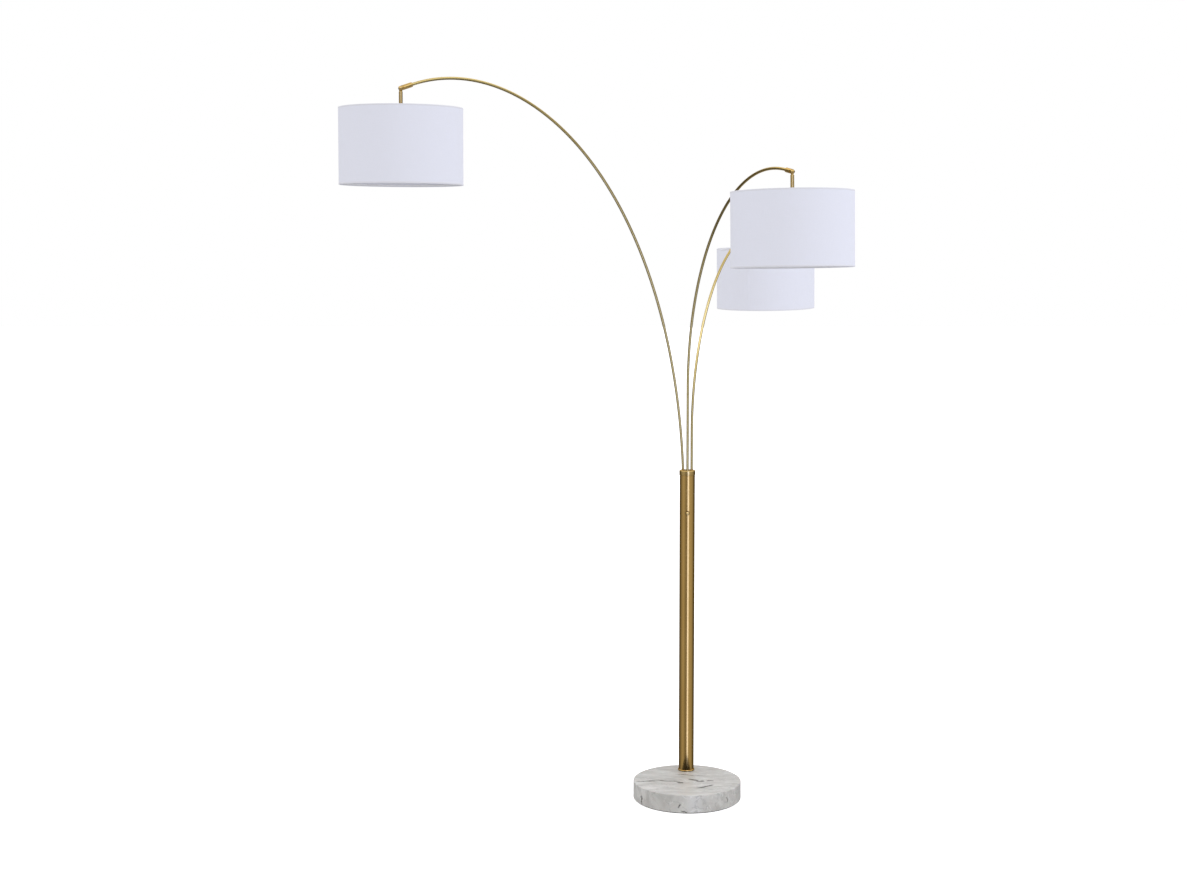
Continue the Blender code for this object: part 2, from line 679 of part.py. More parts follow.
def holder_mesh():
    """The threaded lamp holder: a flange that carries the spider, and a bore for the bulb's cap."""
    flange_low = -HOLDER_TOP - HOLDER_FLANGE
    low = -HOLDER_TOP - HOLDER_LENGTH
    roof = -HOLDER_TOP - HOLDER_ROOF
    profile = [
        (0.0, -HOLDER_TOP),
        (HOLDER_FLANGE_RADIUS, -HOLDER_TOP),
        (HOLDER_FLANGE_RADIUS, flange_low),
        (HOLDER_RADIUS, flange_low),
        (HOLDER_RADIUS, low),
        (HOLDER_BORE, low),
        (HOLDER_BORE, roof),
        (0.0, roof),
    ]
    return turned(profile, MEDIUM)


def bulb_mesh():
    """A screw-cap bulb: a cap, a neck that widens along a half cosine and a round end."""
    neck_top = -BULB_TOP - BULB_CAP_LENGTH
    centre = -BULB_TOP - BULB_LENGTH + BULB_RADIUS
    profile = [
        (0.0, -BULB_TOP),
        (BULB_CAP_RADIUS / 2, -BULB_TOP),
        (BULB_CAP_RADIUS, -BULB_TOP - BULB_CAP_RADIUS / 3),
    ]
    for k in range(BULB_STEPS):
        share = k / BULB_STEPS
        widening = (1 - math.cos(math.pi * share)) / 2
        radius = BULB_CAP_RADIUS + (BULB_RADIUS - BULB_CAP_RADIUS) * widening
        profile.append((radius, neck_top + (centre - neck_top) * share))
    profile += arc(0.0, centre, BULB_RADIUS, 0, -90, BULB_STEPS)[:-1]
    profile += [(0.0, centre - BULB_RADIUS)]
    return turned(profile, MEDIUM)


def spider_mesh():
    """The shade's fitter: a plate with the holder's hole, spokes and the top wire ring."""
    plate_edge = HOLDER_HOLE + SPIDER_PLATE_WIDTH
    plate = ring(HOLDER_HOLE, plate_edge, -SPIDER_TOP - SPIDER_PLATE, -SPIDER_TOP, MEDIUM)
    rim = -SHADE_TOP - RIM_INSET - RING_WIRE_RADIUS
    start = Vector((plate_edge - SPOKE_RADIUS, 0.0, -SPIDER_TOP - SPIDER_PLATE / 2))
    end = Vector((RING_CENTRE_RADIUS, 0.0, rim))
    lie = (end - start).to_track_quat("Z", "Y").to_matrix().to_4x4()
    spoke = moved(disc(SPOKE_RADIUS, 0.0, (end - start).length, TUBE_SIDES), Matrix.Translation(start) @ lie)
    turns = [Matrix.Rotation(2 * math.pi * k / SPOKES, 4, "Z") for k in range(SPOKES)]
    spokes = [moved(spoke, turn) for turn in turns]
    return combined(wire_ring(RING_CENTRE_RADIUS, RING_WIRE_RADIUS, rim), "UNION", [*spokes, plate])


# What hangs from each pin, and its material.
HANGING = {
    "drop_rod": "brass",
    "holder_cup": "brass",
    "lamp_holder": "plastic",
    "shade_ring_nut": "plastic",
    "bulb": "glass",
    "shade_spider": "white_steel",
    "shade_bottom_ring": "white_steel",
    "drum_shade": "fabric",
}


def build_arm(arm, shapes, materials):
    """One arm with its knuckle and shade, under an empty at its root and an empty at its pin."""
    root = pivot(f"{arm.name}_arm_axis", None, root_place(arm) + Vector((0, 0, CAP_TOP)),
                 (0, 0, math.radians(arm.azimuth)))
    place(f"{arm.name}_arm_tube", arm_tube_mesh(arm), materials["brass"], root)
    place(f"{arm.name}_arm_wire", arm_wire_mesh(arm), materials["cable"], root)
    place(f"{arm.name}_swivel_washer", shapes["swivel_washer"], materials["plastic"], root)
    place(f"{arm.name}_swivel_nut", shapes["swivel_nut"], materials["steel"], root)

    out, rise, heading = arm_stations(arm, [arm_length(arm)])[0]
    at_tip = Matrix.Translation((out, 0, rise)) @ Matrix.Rotation(heading, 4, "Y")
    place(f"{arm.name}_arm_sleeve", shapes["sleeve"], materials["brass"], root, at_tip)
    place(f"{arm.name}_knuckle_pin", shapes["pin"], materials["brass"], root, at_tip @ ALONG_Y)

    tilt = pivot(f"{arm.name}_tilt_axis", root, (out, 0, rise), (0, -math.radians(arm.shade_tilt), 0))
    for piece, material in HANGING.items():
        place(f"{arm.name}_{piece}", shapes[piece], materials[material], tilt)


def repeated_shapes():
    """The meshes that all three arms share."""
    washer_top = HUB_BOTTOM - GAP - CAP_TOP
    nut_top = SWIVEL_NUT_TOP - CAP_TOP
    bottom_rim = -SHADE_BOTTOM + RIM_INSET + RING_WIRE_RADIUS
    washer_low = washer_top - SWIVEL_WASHER_THICKNESS
    nut_ring_outer = HOLDER_HOLE + RING_WIDTH
    return {
        "swivel_washer": ring(ROOT_BORE, SWIVEL_NUT_FLATS / 2, washer_low, washer_top, MEDIUM),
        "swivel_nut": hex_nut(SWIVEL_NUT_FLATS, ROOT_BORE, nut_top - SWIVEL_NUT_HEIGHT, nut_top),
        "sleeve": sleeve_mesh(),
        "pin": pin_mesh(),
        "drop_rod": drop_rod_mesh(),
        "holder_cup": cup_mesh(),
        "lamp_holder": holder_mesh(),
        "shade_ring_nut": ring(HOLDER_HOLE, nut_ring_outer, -RING_TOP - RING_HEIGHT, -RING_TOP, MEDIUM),
        "bulb": bulb_mesh(),
        "shade_spider": spider_mesh(),
        "shade_bottom_ring": wire_ring(RING_CENTRE_RADIUS, RING_WIRE_RADIUS, bottom_rim),
        "drum_shade": ring(SHADE_BORE, SHADE_RADIUS, -SHADE_BOTTOM, -SHADE_TOP, LARGE),
    }


def main():
    clear_scene()
    materials = {
        "brass": make_material("brass", (0.46, 0.31, 0.12), 0.32, metallic=1.0),
        "marble": make_material("marble", (0.62, 0.61, 0.60), 0.25),
        "fabric": make_material("fabric", (0.84, 0.84, 0.88), 0.9),
        "white_steel": make_material("white_steel", (0.80, 0.80, 0.82), 0.45),
        "steel": make_material("steel", (0.56, 0.57, 0.58), 0.35, metallic=1.0),
        "plastic": make_material("plastic", (0.03, 0.03, 0.03), 0.45),
        "cable": make_material("cable", (0.70, 0.69, 0.66), 0.5),
        "felt": make_material("felt", (0.08, 0.08, 0.08), 0.95),
        "glass": make_material("glass", (0.90, 0.90, 0.88), 0.3, transmission=0.4),
    }
    build_foot(materials)
    build_pole(materials)
    build_switch(materials)
    shapes = repeated_shapes()
    for arm in ARMS:
        build_arm(arm, shapes, materials)


main()
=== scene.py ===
# %% [markdown]
# # An arc floor lamp with three shades
# The lamp is a marble disc, a brass pole and three bent brass tubes that each carry a fabric drum. The
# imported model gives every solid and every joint, and this lesson builds a finer surface over each one
# that shows, then gives everything a finish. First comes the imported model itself.

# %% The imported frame
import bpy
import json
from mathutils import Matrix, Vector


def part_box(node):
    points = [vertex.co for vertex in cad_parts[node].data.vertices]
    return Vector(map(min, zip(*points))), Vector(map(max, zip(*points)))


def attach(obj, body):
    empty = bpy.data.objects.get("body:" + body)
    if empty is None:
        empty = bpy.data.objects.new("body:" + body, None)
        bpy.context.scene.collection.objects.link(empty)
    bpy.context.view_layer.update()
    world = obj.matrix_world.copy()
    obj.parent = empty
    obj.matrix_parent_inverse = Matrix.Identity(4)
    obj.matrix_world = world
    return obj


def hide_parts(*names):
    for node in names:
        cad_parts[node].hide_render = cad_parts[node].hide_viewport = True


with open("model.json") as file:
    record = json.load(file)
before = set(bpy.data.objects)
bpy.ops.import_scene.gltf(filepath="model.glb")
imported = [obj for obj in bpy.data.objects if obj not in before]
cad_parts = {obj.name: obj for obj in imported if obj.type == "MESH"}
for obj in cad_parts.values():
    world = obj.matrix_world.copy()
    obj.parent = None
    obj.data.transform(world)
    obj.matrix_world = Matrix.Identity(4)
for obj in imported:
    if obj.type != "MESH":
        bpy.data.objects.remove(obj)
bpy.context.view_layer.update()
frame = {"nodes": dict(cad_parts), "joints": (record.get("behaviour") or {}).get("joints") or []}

import json
import math

import bmesh
import bpy
import numpy as np
from mathutils import Euler, Matrix, Vector

joints = {joint["name"]: joint for joint in frame["joints"]}

# %% [markdown]
# ## Surfaces as grids
# Every new piece is a grid of points, worked out as one array. Each point holds five numbers: x, y and z,
# then two more, u and v, which measure the surface in metres so that a weave or a brushed line has its
# real size. A lathe, a wire bender and a saw are each one function that returns such a grid.

# %% Quads between the points of a grid
MERGE = 2e-6


def grid_quads(rows, columns):
    """Each quad joins a point to its neighbours in the next column and the next row."""
    index = np.arange(rows * columns).reshape(rows, columns)
    corners = [index[:-1, :-1], index[:-1, 1:], index[1:, 1:], index[1:, :-1]]
    return np.stack(corners, axis=-1).reshape(-1, 4)


def build(name, grids):
    """A mesh object over one or more grids. Points that coincide become one, so seams and poles close."""
    points = np.concatenate([grid.reshape(-1, 5) for grid in grids])
    starts = np.cumsum([0] + [grid.shape[0] * grid.shape[1] for grid in grids[:-1]])
    quads = np.concatenate([grid_quads(*grid.shape[:2]) + at for grid, at in zip(grids, starts)])
    mesh = bpy.data.meshes.new(name)
    mesh.from_pydata(points[:, :3].tolist(), [], quads.tolist())
    layer = mesh.uv_layers.new(name="metres")
    layer.data.foreach_set("uv", points[quads.ravel(), 3:].ravel())
    bm = bmesh.new()
    bm.from_mesh(mesh)
    bmesh.ops.remove_doubles(bm, verts=bm.verts, dist=MERGE)
    bmesh.ops.recalc_face_normals(bm, faces=bm.faces)
    if bm.calc_volume(signed=True) < 0:
        bmesh.ops.reverse_faces(bm, faces=bm.faces)
    bm.to_mesh(mesh)
    bm.free()
    made = bpy.data.objects.new(name, mesh)
    bpy.context.scene.collection.objects.link(made)
    return made


print("a 3 by 4 grid has", len(grid_quads(3, 4)), "quads")

# %% A profile with rounded corners
def rounded(corners, steps=6):
    """A profile from corners (r, z, radius). The arc at a corner touches both its sides: it is the rational
    parabola between the two touching points, pulled towards the corner by the sine of half its angle."""
    rows = np.array(corners, float)
    here, radius = rows[:, :2], rows[:, 2:]
    back = np.roll(here, 1, axis=0) - here
    ahead = np.roll(here, -1, axis=0) - here
    back /= np.linalg.norm(back, axis=1, keepdims=True)
    ahead /= np.linalg.norm(ahead, axis=1, keepdims=True)
    half = np.arccos(np.clip((back * ahead).sum(axis=1, keepdims=True), -1, 1)) / 2
    reach = radius / np.tan(half)
    share = np.linspace(0, 1, steps + 1)[None, :, None]
    first = (1 - share) ** 2
    middle = 2 * share * (1 - share) * np.sin(half)[:, None]
    last = share**2
    ends = (here + back * reach)[:, None] * first + (here + ahead * reach)[:, None] * last
    return ((ends + here[:, None] * middle) / (first + middle + last)).reshape(-1, 2)


def running_length(points):
    """How far along a chain of points each one is."""
    return np.concatenate([[0.0], np.cumsum(np.linalg.norm(np.diff(points, axis=0), axis=1))])


corner_test = rounded([(0, 0, 0), (1, 0, 0.2), (1, 1, 0)])
print("a rounded corner has", len(corner_test), "profile points for three corners")

# %% A lathe
def turned(profile, sides=96, ring=False, radial=None):
    """A profile of (r, z) turned about Z: x is r cos a, y is r sin a. A ring's profile runs back to its
    start. `radial`, rows by columns, is added to r, as a knurl or a thread is."""
    shape = np.asarray(profile, float)
    if ring:
        shape = np.concatenate([shape, shape[:1]])
    angle = np.linspace(0, 2 * np.pi, sides + 1)
    radius = np.repeat(shape[:, :1], sides + 1, axis=1)
    if radial is not None:
        radius = radius + radial
    height = np.repeat(shape[:, 1:], sides + 1, axis=1)
    around = np.repeat((angle * np.abs(shape[:, 0]).max())[None], len(shape), axis=0)
    along = np.repeat(running_length(shape)[:, None], sides + 1, axis=1)
    cosine, sine = np.cos(angle), np.sin(angle)
    cosine[-1], sine[-1] = cosine[0], sine[0]
    return np.stack([radius * cosine, radius * sine, height, around, along], axis=-1)


print("a 96-sided cone has", turned([(0, 1), (1, 0)]).shape, "points")

# %% A wire bender
def carried(path, level, radii, sides=32, bore=None):
    """A round section carried along a path that lies in the plane square to `level`: each ring of points
    is centre + radius * (cos a * side + sin a * level), with side = level x the path's direction. With a
    bore, the rows run out along the outside and back along the inside; without one, both ends close."""
    path, level = np.asarray(path, float), np.asarray(level, float)
    way = np.gradient(path, running_length(path), axis=0)
    way /= np.linalg.norm(way, axis=1, keepdims=True)
    side = np.cross(level, way)
    radii = np.broadcast_to(radii, len(path)).astype(float)
    order = np.arange(len(path))
    if bore is None:
        rows = np.concatenate([[0], order, [len(path) - 1]])
        reach = np.concatenate([[0.0], radii, [0.0]])
    else:
        rows = np.concatenate([order, order[::-1], [0]])
        reach = np.concatenate([radii, np.full(len(path), bore), radii[:1]])
    angle = np.linspace(0, 2 * np.pi, sides + 1)
    angle[-1] = 0.0
    swing = np.cos(angle)[None, :, None] * side[rows][:, None] + np.sin(angle)[None, :, None] * level
    points = path[rows][:, None] + reach[:, None, None] * swing
    around = np.repeat((np.linspace(0, 2 * np.pi, sides + 1) * radii.max())[None], len(rows), axis=0)
    along = np.repeat(running_length(path)[rows][:, None], sides + 1, axis=1)
    return np.concatenate([points, around[..., None], along[..., None]], axis=-1)


# %% A saw
def prism(outline, low, high):
    """A flat outline of (x, y) points, raised from low to high and closed at both ends."""
    flat = np.concatenate([outline, outline[:1]])
    centre = np.repeat(np.mean(outline, axis=0)[None], len(flat), axis=0)
    rings = zip((centre, flat, flat, centre), (low, low, high, high))
    points = np.stack([np.column_stack([edge, np.full(len(flat), z)]) for edge, z in rings])
    return np.concatenate([points, points[..., :2]], axis=-1)


def block(low, high):
    """A box between two corners, as a prism."""
    (x0, y0, z0), (x1, y1, z1) = low, high
    return prism(np.array([(x0, y0), (x1, y0), (x1, y1), (x0, y1)], float), z0, z1)


def once_round(sides):
    """Angles from 0 to a full turn, as one row with both ends."""
    return np.linspace(0, 2 * np.pi, sides + 1)[None]


def ripple(angle):
    """A smooth wave from 0 to 1 and back: half of 1 less the cosine."""
    return 0.5 - 0.5 * np.cos(angle)


def rod(radius, low, high, sides=48):
    """A plain cylinder, as a drill or a stud is."""
    return turned([(0, low), (radius, low), (radius, high), (0, high)], sides)


# %% Putting grids in their place
def moved(grid, matrix):
    """The grid with its x, y and z taken through a 4 by 4 matrix."""
    out = grid.copy()
    out[..., :3] = grid[..., :3] @ matrix[:3, :3].T + matrix[:3, 3]
    return out


def frame_at(origin=(0, 0, 0), heading=0.0, lean=0.0):
    """Axes at a point, leaned about Y by one angle and then turned about Z by the other, in radians."""
    turn = Matrix.Rotation(heading, 4, "Z") @ Matrix.Rotation(lean, 4, "Y")
    return np.array(Matrix.Translation(origin) @ turn)


ALONG_Y = np.array(Matrix.Rotation(-math.pi / 2, 4, "X"))
ALONG_MINUS_Y = np.array(Matrix.Rotation(math.pi / 2, 4, "X"))
print("Z laid along Y:", (ALONG_Y @ (0, 0, 1, 0)).round(3)[:3])

# %% Drilling, sawing and welding
def worked(obj, operation, tools):
    """The object after each tool shape is taken away from it or welded to it, kept as its mesh."""
    helpers = [build("tool", [grid]) for grid in tools]
    for helper in helpers:
        step = obj.modifiers.new("work", "BOOLEAN")
        step.operation = operation
        step.solver = "EXACT"
        step.object = helper
    graph = bpy.context.evaluated_depsgraph_get()
    result = bpy.data.meshes.new_from_object(obj.evaluated_get(graph))
    obj.modifiers.clear()
    obj.data = result
    for helper in helpers:
        bpy.data.objects.remove(helper, do_unlink=True)
    return obj


# %% Handing a piece over
CREASE = math.radians(38)


def hand_over(obj, body, material, stands_for=()):
    """Finish, body and the solids that the piece stands for, which are hidden. Edges sharper than CREASE stay
    sharp.
    """
    obj.data.materials.clear()
    obj.data.materials.append(material)
    obj.data.shade_smooth()
    obj.data.set_sharp_from_angle(angle=CREASE)
    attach(obj, body)
    if stands_for:
        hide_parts(*stands_for)
    print(obj.name, len(obj.data.polygons), "faces on", body)
    return obj


# %% [markdown]
# ## Finishes
# Every finish is a node network with its pattern at real scale. A small helper adds a node, sets its
# sockets and links the ones that are given another node's output, so each recipe reads as a list. Values
# that are the same all over the surface go straight onto the shader.

# %% Node helpers
def new_finish(name, **values):
    """A material with these values on its shader: the material, its node tree and its shader."""
    material = bpy.data.materials.new(name)
    material.use_nodes = True
    tree = material.node_tree
    shader = tree.nodes["Principled BSDF"]
    for key, value in values.items():
        shader.inputs[key.replace("_", " ")].default_value = value
    return material, tree, shader


def add(tree, kind, sockets, out=0, **settings):
    """A new node with its sockets set or linked. Returns one of its outputs."""
    made = tree.nodes.new("ShaderNode" + kind)
    for key, value in settings.items():
        setattr(made, key, value)
    for key, value in sockets.items():
        if isinstance(value, bpy.types.NodeSocket):
            tree.links.new(value, made.inputs[key])
        else:
            made.inputs[key].default_value = value
    return made.outputs[out]


def scaled(tree, source, scale, rotation=(0, 0, 0), location=(0, 0, 0)):
    """Object or UV coordinates, multiplied, then turned, then moved."""
    where = tree.nodes.new("ShaderNodeTexCoord").outputs[source]
    return add(tree, "Mapping", {"Vector": where, "Scale": scale, "Rotation": rotation, "Location": location})


def split(tree, vector):
    """The X, Y and Z outputs of a vector."""
    return add(tree, "SeparateXYZ", {0: vector}).node.outputs


def noise(tree, vector, scale=1.0, detail=3.0, rough=0.5, warp=0.0):
    """Fractal noise: `detail` octaves, each `rough` times as strong as the one before."""
    values = {"Vector": vector, "Scale": scale, "Detail": detail, "Roughness": rough, "Distortion": warp}
    return add(tree, "TexNoise", values)


def calc(tree, operation, a, b=0.0):
    """Arithmetic on node outputs and plain numbers."""
    return add(tree, "Math", {0: a, 1: b}, operation=operation)


def spread(tree, value, low, high, to_low=0.0, to_high=1.0):
    """The value's range low..high carried to another range, and held at its ends."""
    sockets = {"Value": value, "From Min": low, "From Max": high, "To Min": to_low, "To Max": to_high}
    return add(tree, "MapRange", sockets)


def blended(tree, share, a, b):
    """Colour a where the share is 0, colour b where it is 1."""
    full = [(*c, 1.0) if isinstance(c, tuple) else c for c in (a, b)]
    return add(tree, "Mix", {0: share, 6: full[0], 7: full[1]}, out=2, data_type="RGBA")


def into(tree, shader, socket, value):
    """Link a node's output to a socket of the shader."""
    tree.links.new(value, shader.inputs[socket])


def raised(tree, shader, height, distance):
    """A bump: a height of 1 stands this many metres proud."""
    into(tree, shader, "Normal", add(tree, "Bump", {"Height": height, "Distance": distance, "Strength": 1.0}))


# %% [markdown]
# ### Satin brass
# The pole and the arms are brushed and then lacquered. The brush leaves fine lines along a tube, and round
# a turned piece. They show as small changes of roughness and a bump of a few microns, with a slow drift of
# colour from thicker and thinner lacquer and faint smudges from hands. The lacquer is a thin clear coat.

# %% Brass finishes
EDGE_TINT = (0.80, 0.60, 0.32, 1.0)
BRUSH_DEPTH = 0.000004
AROUND = (40.0, 3200.0)


def brass(name, pale, deep, lines, gloss):
    """`lines` are how many brush marks there are to a metre, across u and along v."""
    material, tree, shader = new_finish(name, Metallic=1.0, Coat_Weight=0.3, Coat_Roughness=0.16,
                                        Specular_Tint=EDGE_TINT)
    mark = noise(tree, scaled(tree, "UV", (*lines, 1.0)), detail=2.0)
    drift = noise(tree, scaled(tree, "Object", (14, 14, 5)), detail=4.0)
    smudge = noise(tree, scaled(tree, "Object", (55, 55, 40)), detail=5.0, rough=0.65)
    tone = calc(tree, "ADD", spread(tree, drift, 0.3, 0.7, 0.0, 0.7), spread(tree, mark, 0.3, 0.7, 0.0, 0.3))
    into(tree, shader, "Base Color", blended(tree, tone, deep, pale))
    rough = calc(tree, "ADD", spread(tree, mark, 0.3, 0.7, gloss - 0.05, gloss + 0.06),
                 spread(tree, smudge, 0.52, 0.75, 0.0, 0.12))
    into(tree, shader, "Roughness", rough)
    raised(tree, shader, mark, BRUSH_DEPTH)
    return material


pole_brass = brass("pole_brass", (0.70, 0.445, 0.135), (0.60, 0.365, 0.10), (2600.0, 9.0), 0.16)
arm_brass = brass("arm_brass", (0.68, 0.545, 0.235), (0.58, 0.45, 0.175), (2600.0, 14.0), 0.20)
fitting_brass = brass("fitting_brass", (0.68, 0.48, 0.175), (0.57, 0.385, 0.13), AROUND, 0.17)
# A dark brass for the switch's ring nut: painted shade round the knob.
dark_brass = brass("dark_brass", (0.20, 0.13, 0.045), (0.13, 0.085, 0.03), AROUND, 0.3)
print("brass finishes:", [each.name for each in (pole_brass, arm_brass, fitting_brass, dark_brass)])

# %% [markdown]
# ### Marble
# The foot is a polished pale marble. Its clouds are broad and soft, drawn out in one direction as the bed
# of the stone lies, and thin grey and white lines run through them. A ridge, made where a noise passes
# through its middle value, gives a line, and a second noise says where it shows. The few short dark veins
# are what the eye remembers of a slab, so they are listed one by one: each is a band about its own middle.

# %% Lines through the stone
def vein(tree, vector, scale, width, places, share):
    """A line along the middle value of a noise, kept only where a second noise is above a threshold."""
    field = noise(tree, vector, scale, detail=4.0, rough=0.6, warp=0.5)
    away = calc(tree, "ABSOLUTE", calc(tree, "SUBTRACT", field, 0.5))
    line = spread(tree, away, 0.0, width, 1.0, 0.0)
    shown = spread(tree, noise(tree, vector, places, detail=2.0), share, share + 0.07)
    return calc(tree, "MULTIPLY", line, shown)


def streak(tree, waver, worn, middle, heading, half_length, half_width, upright):
    """A short vein about a point: 1 where |across| is small and |along| is less than its half length, with
    `waver` added to the distance across it and its strength multiplied by `worn`."""
    turn = Euler((math.radians(-90 if upright else 0), 0, math.radians(-heading)))
    shift = -(turn.to_matrix() @ Vector(middle))
    along, across, away = split(tree, scaled(tree, "Object", (1, 1, 1), tuple(turn), tuple(shift)))
    across = calc(tree, "ADD", across, waver)
    band = spread(tree, calc(tree, "ABSOLUTE", across), 0.0, half_width, 1.8, 0.0)
    ends = spread(tree, calc(tree, "ABSOLUTE", along), half_length * 0.55, half_length, 1.0, 0.0)
    depth = spread(tree, calc(tree, "ABSOLUTE", away), 0.006, 0.02, 1.0, 0.0)
    return calc(tree, "MULTIPLY", calc(tree, "MULTIPLY", band, ends), calc(tree, "MULTIPLY", depth, worn))


# %% Where the dark veins lie
TOP_FACE = 0.057
TOP_STREAKS = [  # x, y, heading in degrees, half length, half width
    (0.020, -0.112, -28, 0.020, 0.0075),
    (0.040, -0.125, 6, 0.015, 0.0085),
    (0.070, -0.120, 3, 0.013, 0.0060),
    (0.055, -0.180, 38, 0.034, 0.0075),
    (-0.022, -0.142, -6, 0.012, 0.0080),
    (-0.060, -0.124, -14, 0.040, 0.0045),
    (-0.125, -0.128, 5, 0.034, 0.0060),
    (0.012, -0.060, -8, 0.050, 0.0040),
]
SIDE_STREAKS = [  # x, y, z, heading from level in degrees, half length, half width
    (-0.140, -0.196, 0.018, 95, 0.017, 0.0026),
    (-0.028, -0.272, 0.024, 70, 0.008, 0.0042),
    (-0.012, -0.273, 0.008, 160, 0.012, 0.0024),
    (0.118, -0.224, 0.030, 84, 0.010, 0.0012),
]
streaks = [((x, y, TOP_FACE), *shape, False) for x, y, *shape in TOP_STREAKS]
streaks += [((x, y, z), *shape, True) for x, y, z, *shape in SIDE_STREAKS]

# %% Marble
marble, tree, shader = new_finish("marble", Coat_Weight=0.08, Coat_Roughness=0.16, Specular_IOR_Level=0.25,
                                  Subsurface_Weight=0.05, Subsurface_Scale=0.01)
bed = scaled(tree, "Object", (5.5, 19.0, 9.0), (0.2, 0.08, -0.06))
even = scaled(tree, "Object", (1.0, 1.0, 1.0))
cloud = spread(tree, noise(tree, bed, 1.0, detail=9.0, rough=0.66, warp=0.9), 0.36, 0.64)
stone = blended(tree, cloud, (0.42, 0.406, 0.385), (0.62, 0.61, 0.59))
soft_line = vein(tree, bed, 1.6, 0.022, 2.3, 0.42)
stone = blended(tree, calc(tree, "MULTIPLY", soft_line, 0.42), stone, (0.24, 0.235, 0.23))
white_line = vein(tree, bed, 2.7, 0.020, 3.1, 0.45)
stone = blended(tree, calc(tree, "MULTIPLY", white_line, 0.55), stone, (0.80, 0.80, 0.79))
waver = spread(tree, noise(tree, even, 45.0, detail=4.0, rough=0.65), 0.3, 0.7, -0.004, 0.004)
worn = spread(tree, noise(tree, even, 330.0, detail=3.0), 0.35, 0.6, 0.45, 1.0)
dark_line, *others = [streak(tree, waver, worn, *each) for each in streaks]
for each in others:
    dark_line = calc(tree, "MAXIMUM", dark_line, each)
stone = blended(tree, calc(tree, "MULTIPLY", dark_line, 0.95), stone, (0.05, 0.045, 0.035))
grain = noise(tree, even, 420.0, detail=2.0)
stone = blended(tree, spread(tree, grain, 0.35, 0.75, 0.0, 0.10), stone, (0.78, 0.78, 0.77))
into(tree, shader, "Base Color", stone)
into(tree, shader, "Roughness", spread(tree, cloud, 0.0, 1.0, 0.46, 0.38))
raised(tree, shader, calc(tree, "SUBTRACT", noise(tree, even, 60.0), dark_line), 0.00003)
print("marble nodes:", len(tree.nodes))

# %% [markdown]
# ### Shade cloth
# The drums are covered with a white slubby plain weave on a stiff backing. In a plain weave each thread goes
# over one and under the next, so warp and weft take turns on a checker of threads. The sine of u and
# of v, at one thread to half a wave, gives each thread's round top, and the sign of their product says
# which is above. Two long noises thicken some threads. The map u and v is in metres, so 0.5 mm is 0.5 mm.

# %% Shade cloth and its hem
THREAD = 0.00052


def cloth(name, pale, shaded, relief):
    """A plain weave: the height is |sin u| where sin u sin v is above 0, and |sin v| where it is below."""
    material, tree, shader = new_finish(name, Sheen_Weight=0.12, Sheen_Roughness=0.5)
    across, up, _ = split(tree, scaled(tree, "UV", (math.pi / THREAD, math.pi / THREAD, 1.0)))
    warp = calc(tree, "SINE", across)
    weft = calc(tree, "SINE", up)
    above = spread(tree, calc(tree, "MULTIPLY", warp, weft), -0.15, 0.15)
    warp_top = calc(tree, "ABSOLUTE", warp)
    weft_top = calc(tree, "ABSOLUTE", weft)
    height = add(tree, "Mix", {0: above, 2: weft_top, 3: warp_top}, data_type="FLOAT")
    slub_up = noise(tree, scaled(tree, "UV", (1900.0, 26.0, 1.0)), detail=2.0)
    slub_across = noise(tree, scaled(tree, "UV", (26.0, 1900.0, 1.0)), detail=2.0)
    slubs = calc(tree, "ADD", slub_up, slub_across)
    full = calc(tree, "ADD", height, calc(tree, "MULTIPLY", slubs, 0.8))
    # The colour follows this height: raised threads and slubs are lighter and the hollows between threads
    # darker, which is painted shade.
    tone = spread(tree, full, 0.5, 1.9)
    into(tree, shader, "Base Color", blended(tree, tone, shaded, pale))
    into(tree, shader, "Roughness", spread(tree, slubs, 0.7, 1.3, 0.92, 0.80))
    raised(tree, shader, full, relief)
    return material


shade_cloth = cloth("shade_cloth", (0.84, 0.85, 0.95), (0.77, 0.78, 0.87), 0.00005)
hem_tape = cloth("hem_tape", (0.80, 0.80, 0.865), (0.72, 0.72, 0.78), 0.00003)

# %% [markdown]
# ### Plain finishes
# The backing inside a shade is a smooth white sheet with a faint mottle, given a greyer colour than the cloth
# as painted shade for the inside of the drum. Moulded plastic has a fine spark texture, white powder coat has
# an orange-peel skin, zinc plating has a cloudy grain, and felt is short fibres in all directions. One recipe
# serves
# them all: two colours mixed by a noise, and a bump.

# %% Plain finishes
def mottled(name, one, other, size, rough, relief, **values):
    """Two tones mixed by a noise of that size in metres, with a bump and roughness from the same noise."""
    material, tree, shader = new_finish(name, **values)
    where = scaled(tree, "Object", (1 / size,) * 3)
    fine = noise(tree, where, detail=4.0, rough=0.6)
    broad = noise(tree, where, scale=0.13, detail=2.0)
    share = spread(tree, calc(tree, "ADD", fine, broad), 0.7, 1.3)
    into(tree, shader, "Base Color", blended(tree, share, one, other))
    into(tree, shader, "Roughness", spread(tree, fine, 0.3, 0.7, rough - 0.05, rough + 0.07))
    raised(tree, shader, fine, relief)
    return material
